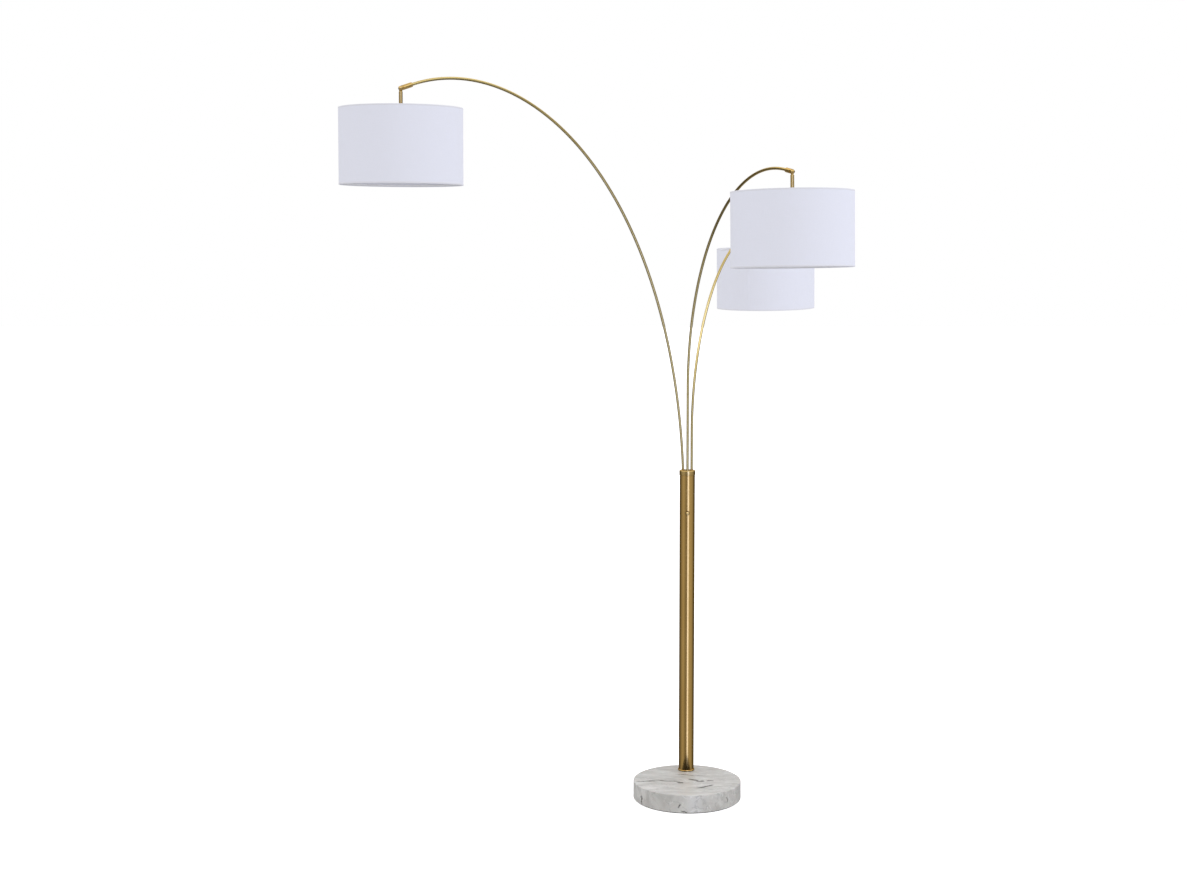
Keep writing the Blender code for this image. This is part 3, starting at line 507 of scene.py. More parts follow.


# The lining's grey is painted shade: it stands for the shade inside the drum.
painted_shade_backing = mottled("shade_backing", (0.69, 0.69, 0.745), (0.74, 0.74, 0.79), 0.004, 0.55, 0.00001)
white_coat = mottled("white_coat", (0.74, 0.74, 0.76), (0.80, 0.80, 0.82), 0.0008, 0.38, 0.00002)
black_plastic = mottled("black_plastic", (0.016, 0.016, 0.017), (0.034, 0.034, 0.036), 0.0006, 0.42, 0.00002)
zinc = mottled("zinc", (0.50, 0.51, 0.52), (0.66, 0.67, 0.68), 0.003, 0.34, 0.00001, Metallic=1.0)
felt = mottled("felt", (0.045, 0.045, 0.048), (0.11, 0.11, 0.115), 0.0007, 0.93, 0.0002, Sheen_Weight=0.3)
cable_skin = mottled("cable_skin", (0.66, 0.65, 0.62), (0.74, 0.73, 0.70), 0.002, 0.48, 0.00001)
frosted = mottled("frosted_glass", (0.88, 0.88, 0.87), (0.93, 0.93, 0.92), 0.0005, 0.36, 0.00001,
                  Transmission_Weight=0.35, IOR=1.48)

# %% Finishes for the hidden hardware
HIDDEN = dict.fromkeys(["base_washer", "base_hex_nut", "base_nipple", "pole_foot_bush", "arm_hub"], zinc)
HIDDEN.update(switch_body=black_plastic, switch_lead=cable_skin, wire_splice=black_plastic)
ARM_NAMES = ("left", "front", "rear")
for side in ARM_NAMES:
    HIDDEN[side + "_arm_wire"] = cable_skin
    HIDDEN[side + "_swivel_washer"] = black_plastic
    HIDDEN[side + "_swivel_nut"] = zinc
for node, material in HIDDEN.items():
    frame["nodes"][node].data.materials.clear()
    frame["nodes"][node].data.materials.append(material)
print("kept as packed:", len(HIDDEN), "pieces inside the lamp")

# %% [markdown]
# ## The foot
# The real foot is sawn from a slab, ground round with a small polished edge, and drilled behind its centre,
# so that the weight lies under the arms. The disc is turned about its own axis, and the nut's recess, the
# stud's hole and the cord's hole are then cut from it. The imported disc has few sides; this one has many.

# %% Marble disc
FIT = 0.0003     # the room between a part and the hole that it goes in


def reach_of(node):
    """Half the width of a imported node, which is its radius where it is round."""
    low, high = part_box(node)
    return (high.x - low.x) / 2


slab_low, slab_high = (corner.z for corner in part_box("marble_base"))
SLAB_RADIUS = reach_of("marble_base")
RECESS_RADIUS = 0.028
RECESS_DEPTH = 0.026
STUD_HOLE = 0.0068
INLET_RADIUS = 0.005
INLET_HEIGHT = 0.0105
ROUND_SIDES = 192

FORWARD = sum(corner.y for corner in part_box("marble_base")) / 2
at_disc = frame_at((0, FORWARD, 0))
BACK = SLAB_RADIUS + FORWARD

slab_profile = rounded([
    (0, slab_high, 0),
    (SLAB_RADIUS, slab_high, 0.0028),
    (SLAB_RADIUS, slab_low, 0.0015),
    (0, slab_low, 0),
], steps=8)
foot = build("marble_foot", [moved(turned(slab_profile, ROUND_SIDES), at_disc)])
hollow = [
    (0, slab_high + 0.01),
    (STUD_HOLE, slab_high + 0.01),
    (STUD_HOLE, slab_low + RECESS_DEPTH),
    (RECESS_RADIUS, slab_low + RECESS_DEPTH),
    (RECESS_RADIUS, slab_low - 0.01),
    (0, slab_low - 0.01),
]
inlet_tool = moved(rod(INLET_RADIUS, RECESS_RADIUS / 2, BACK + 0.01), ALONG_Y)
inlet_tool[..., 2] += INLET_HEIGHT
worked(foot, "DIFFERENCE", [turned(hollow, 96), inlet_tool])
hand_over(foot, "stand", marble, ["marble_base"])
foot.visible_glossy = False     # the pole mirrors the room down to its collar, and not the slab
print("slab", round(SLAB_RADIUS * 2000), "mm across, set", round(-FORWARD * 1000), "mm before the pole")

# %% Felt pad and cord gland
pad_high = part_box("base_felt_pad")[1].z
pad_radius = reach_of("base_felt_pad")
pad_profile = rounded([(0, pad_high, 0), (pad_radius, pad_high, 0.0008), (pad_radius, 0, 0.0005), (0, 0, 0)])
pad = build("felt_pad", [moved(turned(pad_profile, ROUND_SIDES), at_disc)])
hand_over(pad, "stand", felt, ["base_felt_pad"])

gland_in, gland_out = (corner.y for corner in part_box("cord_bushing"))
GLAND_BORE = 0.0032
GLAND_HEAD = 0.008
GLAND_SHANK = 0.0047
gland_profile = rounded([
    (GLAND_BORE, gland_out, 0.0006),
    (GLAND_HEAD, gland_out, 0.001),
    (GLAND_HEAD, BACK + FIT, 0),
    (GLAND_SHANK, BACK + FIT, 0),
    (GLAND_SHANK, gland_in, 0.0004),
    (GLAND_BORE, gland_in, 0.0004),
])
gland_grid = moved(turned(gland_profile, 64, ring=True), ALONG_Y)
gland_grid[..., 2] += INLET_HEIGHT
hand_over(build("cord_gland", [gland_grid]), "stand", black_plastic, ["cord_bushing"])

# %% [markdown]
# ## The pole
# The pole is a brass tube that stands in a rolled collar. Its cap is turned from bar: a rounded upper edge,
# a fine groove near its lower edge, and a spigot that fits in the tube. Three holes through it take the
# arms. The switch's neck comes through one hole in the tube's front.

# %% Collar and tube
pole_low, pole_high = (corner.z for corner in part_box("pole_tube"))
POLE_RADIUS = reach_of("pole_tube")
POLE_WALL = 0.0015
NECK_RADIUS = 0.0045
switch_height = joints["switch_turn"]["pos_m"][2]

bore = POLE_RADIUS - POLE_WALL
tube_profile = rounded([
    (bore, pole_high, 0.0003),
    (POLE_RADIUS, pole_high, 0.0005),
    (POLE_RADIUS, pole_low, 0.0005),
    (bore, pole_low, 0.0003),
])
pole = build("pole_shell", [turned(tube_profile, 128, ring=True)])
neck_tool = moved(rod(NECK_RADIUS + FIT, 0.0, 0.04), ALONG_MINUS_Y)
neck_tool[..., 2] += switch_height
worked(pole, "DIFFERENCE", [neck_tool])
hand_over(pole, "stand", pole_brass, ["pole_tube"])

collar_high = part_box("pole_foot_collar")[1].z
collar_reach = reach_of("pole_foot_collar")
collar_profile = rounded([
    (POLE_RADIUS + FIT, collar_high, 0.0003),
    (collar_reach, collar_high, 0.0013),
    (collar_reach, pole_low, 0.0004),
    (POLE_RADIUS + FIT, pole_low, 0.0002),
])
collar = build("foot_collar", [turned(collar_profile, 128, ring=True)])
hand_over(collar, "stand", fitting_brass, ["pole_foot_collar"])

# %% Cap
cap_low, cap_high = (corner.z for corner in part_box("pole_cap"))
cap_reach = reach_of("pole_cap")
skirt_low = pole_high + FIT
spigot = bore - FIT
GROOVE = 0.0006
cap_profile = rounded([
    (0, cap_high, 0),
    (cap_reach, cap_high, 0.0024),
    (cap_reach, skirt_low + 0.0034, 0.0001),
    (cap_reach - GROOVE, skirt_low + 0.0031, 0.0001),
    (cap_reach - GROOVE, skirt_low + 0.0027, 0.0001),
    (cap_reach, skirt_low + 0.0024, 0.0001),
    (cap_reach, skirt_low, 0.0005),
    (spigot, skirt_low, 0),
    (spigot, cap_low, 0.0005),
    (0, cap_low, 0),
])
cap = build("pole_cap_turned", [turned(cap_profile, 128)])
ROOT_HOLE = 0.0043
BEAD_HOLE = 0.0061
BEAD_SEAT = 0.0034
roots = {side: joints[side + "_swivel"]["pos_m"] for side in ARM_NAMES}
root_places = [frame_at((x, y, 0)) for x, y, _ in roots.values()]
root_drill = rod(ROOT_HOLE, cap_low - 0.01, cap_high + 0.01)
bead_drill = rod(BEAD_HOLE, cap_low - 0.01, cap_low + BEAD_SEAT)
worked(cap, "DIFFERENCE", [moved(drill, at) for drill in (root_drill, bead_drill) for at in root_places])
hand_over(cap, "stand", fitting_brass, ["pole_cap"])

# %% [markdown]
# ## The rotary switch
# A ring nut holds the switch against the pole, and a small knob turns it. The nut is dark brass, painted
# shade round the knob. The knob's face is a shallow dome, whose height falls with the square of the radius.
# Its knurl is a wave taken off the barrel's radius.

# %% Ring nut and knob
nut_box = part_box("switch_nut")
nut_reach = reach_of("switch_nut")
nut_profile = rounded([
    (NECK_RADIUS + FIT, -nut_box[0].y, 0.0003),
    (nut_reach, -nut_box[0].y, 0.0006),
    (nut_reach, -nut_box[1].y, 0.0002),
    (NECK_RADIUS + FIT, -nut_box[1].y, 0.0002),
])
at_switch = np.array(Matrix.Translation((0, 0, switch_height))) @ ALONG_MINUS_Y
ring_nut = build("switch_ring_nut", [moved(turned(nut_profile, 64, ring=True), at_switch)])
# The nut's dark brass is painted shade round the knob.
hand_over(ring_nut, "stand", dark_brass, ["switch_nut"])

knob_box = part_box("switch_knob")
knob_reach = reach_of("switch_knob")
knob_end = -knob_box[0].y
knob_back = -nut_box[0].y + FIT
SPINDLE = 0.002
KNOB_SIDES = 240
RIDGES = 30
KNURL_DEPTH = 0.00018
EDGE = 0.0004
RECESS = 0.0026
barrel = np.linspace(knob_end - 0.0018, knob_back + 0.0008, 16)
dome = np.linspace(0, 1, 14)
knob_profile = np.concatenate([
    np.column_stack([dome * (knob_reach - EDGE), knob_end - 0.0014 * dome**2]),
    np.column_stack([np.full(16, knob_reach), barrel]),
    [(knob_reach - EDGE, knob_back), (NECK_RADIUS + FIT, knob_back)],
    [(NECK_RADIUS + FIT, knob_back + RECESS), (SPINDLE, knob_back + RECESS)],
    [(SPINDLE, -knob_box[1].y), (0, -knob_box[1].y)],
])
on_barrel = (np.abs(knob_profile[:, 0] - knob_reach) < 1e-9).astype(float)[:, None]
knurl = -KNURL_DEPTH * on_barrel * ripple(RIDGES * once_round(KNOB_SIDES))
knob = build("knurled_knob", [moved(turned(knob_profile, KNOB_SIDES, radial=knurl), at_switch)])
hand_over(knob, "switch_knob", fitting_brass, ["switch_knob"])

# %% [markdown]
# ## The arms
# Each arm is one length of thin tube, bent on a roller so that it curls ever more tightly outwards. At the
# share t of its bend, its heading from the vertical is lean + sweep t + curl t cubed, in degrees. Adding up
# small steps along that heading gives the centreline, and a round section carried along it gives the tube.

# %% Arm centrelines
ARMS = {
    "left": {"azimuth": 225.5, "straight": 0.006, "lean": 3.4, "bend": 1.738, "sweep": 58.5, "curl": 45.5,
             "shade_tilt": 0.5},
    "front": {"azimuth": 289.0, "straight": 0.256, "lean": 0.0, "bend": 1.101, "sweep": 98.5, "curl": 0.0,
              "shade_tilt": 2.0},
    "rear": {"azimuth": 65.5, "straight": 0.115, "lean": 0.0, "bend": 0.952, "sweep": 80.0, "curl": 15.0,
             "shade_tilt": 1.5},
}
TIP = 0.040
PATH_STEPS = 600


def centreline(arm, distances):
    """Points in the arm's own plane, (out, 0, up) from the cap's top, at these distances along the tube."""
    share = np.linspace(0, 1, PATH_STEPS + 1)
    heading = np.radians(arm["lean"] + arm["sweep"] * share + arm["curl"] * share**3)
    middle = (heading[1:] + heading[:-1]) / 2
    step = arm["bend"] / PATH_STEPS
    out = np.concatenate([[0.0], np.cumsum(np.sin(middle) * step)])
    up = np.concatenate([[0.0], np.cumsum(np.cos(middle) * step)])
    s = np.asarray(distances, float) - arm["straight"]
    past = np.maximum(s - arm["bend"], 0.0)
    x = np.interp(s, share * arm["bend"], out) + past * math.sin(heading[-1])
    z = np.interp(s, share * arm["bend"], up) + past * math.cos(heading[-1]) + np.minimum(s, 0.0)
    return np.column_stack([x, np.zeros(len(s)), z + arm["straight"]]), heading[-1]


for side, arm in ARMS.items():
    arm["length"] = arm["straight"] + arm["bend"] + TIP
    (end,), arm["end_heading"] = centreline(arm, [arm["length"]])
    at_root = frame_at(roots[side], math.radians(arm["azimuth"]))
    arm["root"] = at_root
    arm["pin"] = at_root[:3, :3] @ end + at_root[:3, 3]
    miss = np.linalg.norm(arm["pin"] - joints[side + "_tilt"]["pos_m"])
    print(side, "arm", round(arm["length"], 3), "m, its pin within", round(miss * 1000, 3), "mm of the joint")

# %% Arm tubes
TUBE_RADIUS = 0.004
TUBE_BORE = 0.003
TUBE_STOP = 0.0123
CAP_TOP = 1.0040
ROOT_LOW = 0.9496 - CAP_TOP
BEAD_LOW = 0.9810 - CAP_TOP
BEAD_LENGTH = 0.0025
BEAD_PROUD = 0.0018
BEAD_HIGH = BEAD_LOW + BEAD_LENGTH

for side, arm in ARMS.items():
    bead_rows = np.linspace(BEAD_LOW, BEAD_HIGH, 9)
    bend_rows = np.linspace(0.0, arm["length"] - TUBE_STOP, 220)
    rows = np.concatenate([[ROOT_LOW, BEAD_LOW - 0.0001], bead_rows, [BEAD_HIGH + 0.0001], bend_rows])
    line, _ = centreline(arm, rows)
    swell = BEAD_PROUD * np.sin(np.pi * np.clip((rows - BEAD_LOW) / BEAD_LENGTH, 0, 1)) ** 0.5
    tube = moved(carried(line, (0, 1, 0), TUBE_RADIUS + swell, 32, bore=TUBE_BORE), arm["root"])
    hand_over(build(side + "_bent_tube", [tube]), side + "_arm", arm_brass, [side + "_arm_tube"])

# %% [markdown]
# ## The knuckles
# At each arm's end a turned sleeve is pushed on the tube, with its rounded nose sawn into a fork. The drop
# rod's flat eye sits in the fork on a riveted pin, so the shade can tilt. The sleeve and the rod are lathe
# shapes that are then sawn and drilled, as the real ones are.

# %% Sleeve and pin
SLEEVE_LENGTH = 0.038
SLEEVE_RADIUS = 0.0065
FORK_HALF = 0.0052
SLOT_HALF = 0.0028
SLOT_DEPTH = 0.0066
PIN_RADIUS = 0.0015
PIN_HEAD = 0.0030
MOUTH = -SLEEVE_LENGTH
WIRE_HOLE = 0.002
TUBE_SEAT = 0.0043
LINE_DEPTH = 0.0005

nose = np.linspace(0, np.pi / 2, 13)[1:]
sleeve_profile = np.concatenate([
    rounded([
        (0, -SLOT_DEPTH / 2, 0),
        (WIRE_HOLE, -SLOT_DEPTH / 2, 0),
        (WIRE_HOLE, -0.012, 0),
        (TUBE_SEAT, -0.012, 0),
        (TUBE_SEAT, MOUTH, 0.0002),
        (SLEEVE_RADIUS, MOUTH, 0.0008),
        (SLEEVE_RADIUS, MOUTH + 0.0042, 0.0002),
        (SLEEVE_RADIUS - LINE_DEPTH, MOUTH + 0.0046, 0.0002),
        (SLEEVE_RADIUS - LINE_DEPTH, MOUTH + 0.0054, 0.0002),
        (SLEEVE_RADIUS, MOUTH + 0.0058, 0.0002),
        (SLEEVE_RADIUS, 0, 0),
    ], steps=5)[5:-5],
    np.column_stack([SLEEVE_RADIUS * np.cos(nose), SLEEVE_RADIUS * np.sin(nose)]),
])
sleeve_profile[-1, 0] = 0.0
sleeve_grid = turned(sleeve_profile, 64)
WIDE = 0.02
fork_tools = [
    block((-WIDE, -SLOT_HALF, -SLOT_DEPTH), (WIDE, SLOT_HALF, WIDE)),
    block((-WIDE, FORK_HALF, -SLOT_DEPTH), (WIDE, WIDE, WIDE)),
    block((-WIDE, -WIDE, -SLOT_DEPTH), (WIDE, -FORK_HALF, WIDE)),
    moved(rod(PIN_RADIUS + FIT, -WIDE, WIDE, 32), ALONG_Y),
]
pin_profile = rounded([
    (0, FORK_HALF + 0.0019, 0),
    (0.0017, FORK_HALF + 0.0019, 0.0006),
    (PIN_HEAD, FORK_HALF + 0.0006, 0.0002),
    (PIN_HEAD, FORK_HALF + FIT, 0),
    (PIN_RADIUS, FORK_HALF + FIT, 0),
    (PIN_RADIUS, -FORK_HALF, 0.0003),
    (0, -FORK_HALF, 0),
])
pin_grid = moved(turned(pin_profile, 48), ALONG_Y)
for side, arm in ARMS.items():
    at_tip = frame_at(arm["pin"], math.radians(arm["azimuth"]), arm["end_heading"])
    sleeve = build(side + "_fork_sleeve", [moved(sleeve_grid, at_tip)])
    worked(sleeve, "DIFFERENCE", [moved(grid, at_tip) for grid in fork_tools])
    hand_over(sleeve, side + "_arm", fitting_brass, [side + "_arm_sleeve"])
    pin = build(side + "_rivet_pin", [moved(pin_grid, at_tip)])
    hand_over(pin, side + "_arm", fitting_brass, [side + "_knuckle_pin"])

# %% [markdown]
# ## What hangs from a knuckle
# The rest of each lamp is worked out once, hanging plumb from the pin at the origin, and then leaned and
# turned to each arm. Depths below the pin are negative heights. The drop rod ends in the brass cup of the
# lamp holder, and the black holder below it carries the spider, the ring nut and the bulb.

# %% Drop rod
ROD_RADIUS = 0.005
ROD_TOP = -0.0085
CUP_TOP = -0.056
ROD_BORE = 0.003
ROD_END = CUP_TOP - 0.0062
rod_profile = rounded([
    (0, ROD_TOP, 0),
    (ROD_RADIUS, ROD_TOP, 0.0011),
    (ROD_RADIUS, ROD_END, 0.0003),
    (ROD_BORE, ROD_END, 0.0002),
    (ROD_BORE, ROD_TOP - 0.003, 0),
    (0, ROD_TOP - 0.003, 0),
])
EYE_HALF = 0.0025
EYE_RADIUS = 0.006
eye_tool = moved(turned(rounded([
    (0, EYE_HALF, 0),
    (EYE_RADIUS, EYE_HALF, 0.0005),
    (EYE_RADIUS, -EYE_HALF, 0.0005),
    (0, -EYE_HALF, 0),
]), 64), ALONG_Y)
tongue_tool = block((-0.0036, -EYE_HALF, ROD_TOP - 0.0015), (0.0036, EYE_HALF, 0.0))
pin_tool = moved(rod(PIN_RADIUS + FIT, -0.005, 0.005, 32), ALONG_Y)


def drop_rod(name, place):
    """The turned rod with its flat eye welded on and the pin's hole drilled through."""
    made = build(name, [moved(turned(rod_profile, 48), place)])
    worked(made, "UNION", [moved(tongue_tool, place), moved(eye_tool, place)])
    return worked(made, "DIFFERENCE", [moved(pin_tool, place)])


# %% Cup, holder and ring nut
FLANGE_RADIUS = 0.021
CUP_BORE = 0.0053
cup_low = CUP_TOP - 0.016
shoulder = CUP_TOP - 0.008
cup_profile = rounded([
    (CUP_BORE, CUP_TOP, 0.0003),
    (0.009, CUP_TOP, 0.0012),
    (FLANGE_RADIUS - 0.0016, shoulder, 0.003),
    (FLANGE_RADIUS - 0.0004, cup_low + 0.0022, 0.0006),
    (FLANGE_RADIUS, cup_low + 0.0016, 0.0003),
    (FLANGE_RADIUS, cup_low, 0.0005),
    (FLANGE_RADIUS - 0.0012, cup_low, 0.0003),
    (FLANGE_RADIUS - 0.0022, shoulder - 0.0014, 0.002),
    (0.0085, CUP_TOP - 0.0018, 0.0008),
    (CUP_BORE, CUP_TOP - 0.0018, 0.0002),
])

HOLDER_TOP = -0.0723
HOLDER_LOW = HOLDER_TOP - 0.036
HOLDER_RADIUS = 0.0165
THREAD_PITCH = 0.0024
THREAD_DEPTH = 0.0007
HOLDER_SIDES = 96
HOLDER_BORE = 0.0137
thread_heights = np.linspace(HOLDER_TOP - 0.0052, HOLDER_LOW + 0.0015, 96)
holder_profile = np.concatenate([
    rounded([
        (0, HOLDER_TOP, 0),
        (FLANGE_RADIUS, HOLDER_TOP, 0.0006),
        (FLANGE_RADIUS, HOLDER_TOP - 0.003, 0.0006),
        (HOLDER_RADIUS, HOLDER_TOP - 0.003, 0),
        (HOLDER_RADIUS, HOLDER_TOP - 0.0042, 0),
    ])[:-6],
    np.column_stack([np.full(96, HOLDER_RADIUS), thread_heights]),
    rounded([
        (HOLDER_RADIUS, HOLDER_LOW, 0.0006),
        (HOLDER_BORE, HOLDER_LOW, 0.0004),
        (HOLDER_BORE, HOLDER_TOP - 0.008, 0),
        (0, HOLDER_TOP - 0.008, 0),
    ]),
])
in_thread = np.clip(np.minimum(thread_heights[0] - holder_profile[:, 1],
                               holder_profile[:, 1] - thread_heights[-1]) / THREAD_PITCH, 0, 1)
in_thread[holder_profile[:, 0] < HOLDER_RADIUS - 0.0001] = 0
thread_wave = ripple(2 * np.pi * holder_profile[:, 1:] / THREAD_PITCH - once_round(HOLDER_SIDES))
thread_cut = -THREAD_DEPTH * in_thread[:, None] * thread_wave

RING_HIGH = -0.0775
RING_LOW = RING_HIGH - 0.006
ring_heights = np.linspace(RING_HIGH - 0.0009, RING_LOW + 0.0009, 6)
RING_REACH = 0.0228
RING_SIDES = 144
RIBS = 24
RIB_DEPTH = 0.0006
SEAT = 0.0168
ring_profile = np.concatenate([
    [(SEAT, RING_HIGH), (RING_REACH - 0.0008, RING_HIGH)],
    np.column_stack([np.full(6, RING_REACH), ring_heights]),
    [(RING_REACH - 0.0008, RING_LOW), (SEAT, RING_LOW)],
])
ribbed = (ring_profile[:, 0] == RING_REACH).astype(float)[:, None]
ribs = -RIB_DEPTH * ribbed * ripple(RIBS * once_round(RING_SIDES)) ** 2
ribs = np.vstack([ribs, ribs[:1]])
print("ring nut", round(RING_REACH * 2000, 1), "mm across with", RIBS, "ribs")

# %% [markdown]
# The bulb is a frosted globe that narrows to a brass screw cap. Its glass widens along half a cosine from
# the neck to the globe. The cap's thread is a helix: a wave of the height, shifted as it goes round.

# %% Bulb
BULB_TOP = -0.0809
BULB_LENGTH = 0.108
NECK_TOP = BULB_TOP - 0.026
GLASS_NECK = 0.013
GLOBE_RADIUS = 0.030
GLOBE_CENTRE = BULB_TOP - BULB_LENGTH + GLOBE_RADIUS
widen = np.linspace(0, 1, 24)
neck_reach = GLASS_NECK + (GLOBE_RADIUS - GLASS_NECK) * ripple(np.pi * widen)
under = np.linspace(0, np.pi / 2, 22)[1:]
glass_profile = np.concatenate([
    [(0, NECK_TOP + 0.001), (0.0118, NECK_TOP + 0.001)],
    np.column_stack([neck_reach, NECK_TOP + (GLOBE_CENTRE - NECK_TOP) * widen]),
    np.column_stack([GLOBE_RADIUS * np.cos(under), GLOBE_CENTRE - GLOBE_RADIUS * np.sin(under)]),
])
glass_profile[-1, 0] = 0.0

CAP_PITCH = 0.0036
SCREW_RADIUS = 0.0129
SCREW_SIDES = 72
cap_heights = np.linspace(BULB_TOP - 0.0065, NECK_TOP + 0.0035, 80)
screw_profile = np.concatenate([
    [(0, BULB_TOP), (0.0045, BULB_TOP), (0.0055, BULB_TOP - 0.0015), (0.0105, BULB_TOP - 0.0042)],
    np.column_stack([np.full(80, SCREW_RADIUS), cap_heights]),
    [(SCREW_RADIUS, NECK_TOP + 0.0014), (0, NECK_TOP + 0.0014)],
])
screw_height = screw_profile[:, 1]
on_screw = np.isclose(screw_height, np.clip(screw_height, cap_heights[-1] + 0.001, cap_heights[0] - 0.001))
screw_wave = ripple(2 * np.pi * screw_profile[:, 1:] / CAP_PITCH - once_round(SCREW_SIDES))
screw_cut = -0.0008 * (on_screw & (screw_profile[:, 0] > SCREW_RADIUS - 0.0001))[:, None] * screw_wave
print("bulb", round(BULB_LENGTH * 1000), "mm long with a", round(GLOBE_RADIUS * 2000), "mm globe")

# %% [markdown]
# ## The drum
# A hardback drum shade is a strip of stiff white backing with cloth laminated to it, rolled round two wire
# rings and glued along one lap. Tape folded over each wire finishes the rims. So each drum here is five
# pieces: cloth, backing, two hems and the lap. The cloth's wall is a closed thin shell whose radius wanders
# by a fraction of a millimetre, because a real drum isn't perfectly round.

# %% Drum shapes
SHADE_RADIUS = 0.163
SHADE_TOP = -0.051
SHADE_LOW = SHADE_TOP - 0.200
CLOTH = 0.0006
BACKING = 0.0005
HEM_REACH = 0.0042
DRUM_SIDES = 240
drum_turn = once_round(DRUM_SIDES)


def wander(heights, phase, turn=drum_turn):
    """How far the wall is out of true: two slow waves round the drum that swap from rim to rim."""
    share = (np.asarray(heights) - SHADE_LOW)[:, None] / (SHADE_TOP - SHADE_LOW)
    slow = np.cos(2 * turn + phase) * (1 - share) + np.cos(3 * turn + 2.0 * phase) * share
    belly = -0.25 * np.sin(np.pi * share) * (1 + 0.3 * np.cos(5 * turn + phase))
    return 0.00022 * slow + 0.0004 * belly


def drum_wall(inner, outer, top, low, phase, rows=24):
    """A thin closed wall between two radii, its rows running down outside and back up inside."""
    heights = np.linspace(top, low, rows)
    profile = np.concatenate([
        np.column_stack([np.full(rows, outer), heights]),
        np.column_stack([np.full(rows, inner), heights[::-1]]),
    ])
    both = np.concatenate([heights, heights[::-1], heights[:1]])
    return turned(profile, DRUM_SIDES, ring=True, radial=wander(both, phase))


def hem(rim, inward, phase):
    """Tape folded over a rim, rounded where it goes over the edge. `inward` is +1 below, -1 above."""
    low = rim + HEM_REACH * inward
    fold = rim + 0.0004 * inward
    inside = SHADE_RADIUS - CLOTH - BACKING
    outline = rounded([
        (SHADE_RADIUS + 0.0002, rim, 0.0006),
        (SHADE_RADIUS + 0.0002, low, 0.0002),
        (SHADE_RADIUS, low, 0.0),
        (SHADE_RADIUS, fold, 0.0),
        (inside, fold, 0.0),
        (inside, low, 0.0),
        (inside - 0.0005, low, 0.0002),
        (inside - 0.0005, rim, 0.0006),
    ], steps=4)
    heights = np.concatenate([outline[:, 1], outline[:1, 1]])
    return turned(outline, DRUM_SIDES, ring=True, radial=wander(heights, phase))


LAP_WIDTH = 0.010
LAP_COLUMNS = 9


def lap(azimuth, phase):
    """The glued lap: a strip on the cloth from hem to hem. Across it, from t = -1 to 1, it stands proud by
    1 less the sixth power of t, so that its edges are thin."""
    angles = azimuth + np.linspace(-0.5, 0.5, LAP_COLUMNS) * LAP_WIDTH / SHADE_RADIUS
    heights = np.linspace(SHADE_TOP - 0.0064, SHADE_LOW + 0.0064, 24)
    skin = SHADE_RADIUS + wander(heights, phase, angles)
    outside = skin + 0.00005 + 0.0003 * (1 - np.abs(np.linspace(-1, 1, LAP_COLUMNS)) ** 6)
    z = np.repeat(heights[:, None], LAP_COLUMNS, axis=1)
    u = np.repeat((angles * SHADE_RADIUS)[None], len(heights), axis=0)
    above, below = [np.stack([reach * np.cos(angles), reach * np.sin(angles), z, u, z], axis=-1)
                    for reach in (outside, skin)]
    rim_rows = [np.stack([above[row], below[row]]) for row in (0, -1)]
    rim_columns = [np.stack([above[:, column], below[:, column]]) for column in (0, -1)]
    return [above, below, *rim_rows, *rim_columns]


print("cloth strip", round(2 * math.pi * SHADE_RADIUS, 3), "by", round(SHADE_TOP - SHADE_LOW, 3), "m")

# %% [markdown]
# ## The wire frame
# A shade's frame is white wire: a ring inside each rim, and three spokes that run in and down from the top
# ring to a flat washer on the lamp holder. Each spoke is bent, not straight: it leaves the ring flat, drops,
# and lands flat on the washer, so its height follows a smooth step of the distance.

# %% Spider and rings
RING_WIRE = 0.0018
RING_PATH = SHADE_RADIUS - 0.0033
SPOKE_WIRE = 0.0014
RING_INSET = 0.0040
PLATE_TOP = -0.0756
PLATE_LOW = PLATE_TOP - 0.0016
PLATE_RADIUS = 0.0248


def ring_of_wire(height):
    """A torus: a small circle turned about Z."""
    turn = np.linspace(0, 2 * np.pi, 17)[:-1]
    circle = np.column_stack([RING_PATH + RING_WIRE * np.cos(turn), height + RING_WIRE * np.sin(turn)])
    return turned(circle, 144, ring=True)


plate_profile = rounded([
    (SEAT, PLATE_TOP, 0.0002),
    (PLATE_RADIUS, PLATE_TOP, 0.0005),
    (PLATE_RADIUS, PLATE_LOW, 0.0005),
    (SEAT, PLATE_LOW, 0.0002),
])
spoke_out = np.linspace(0.0225, RING_PATH, 48)
ease = np.clip((spoke_out - 0.028) / (0.150 - 0.028), 0, 1)
top_ring = SHADE_TOP - RING_INSET
plate_middle = (PLATE_TOP + PLATE_LOW) / 2
spoke_height = plate_middle + (top_ring - plate_middle) * ease**2 * (3 - 2 * ease)
spoke_line = np.column_stack([spoke_out, np.zeros(48), spoke_height])


def spider(name, place):
    """The top ring with three spokes and the washer welded to it."""
    made = build(name, [moved(ring_of_wire(top_ring), place)])
    spoke = carried(spoke_line, (0, 1, 0), SPOKE_WIRE, 20)
    spokes = [moved(spoke, place @ frame_at((0, 0, 0), 2 * math.pi * k / 3)) for k in range(3)]
    plate = turned(plate_profile, 64, ring=True)
    return worked(made, "UNION", [*spokes, moved(plate, place)])


# %% Hanging everything from its knuckle
def hang(name, grids, material, node=None):
    """A piece of the lamp in hand, moved from plumb to where its knuckle holds it, and handed over."""
    made = build(side + "_" + name, [moved(grid, place) for grid in grids])
    return hand_over(made, body, material, [side + "_" + node] if node else ())


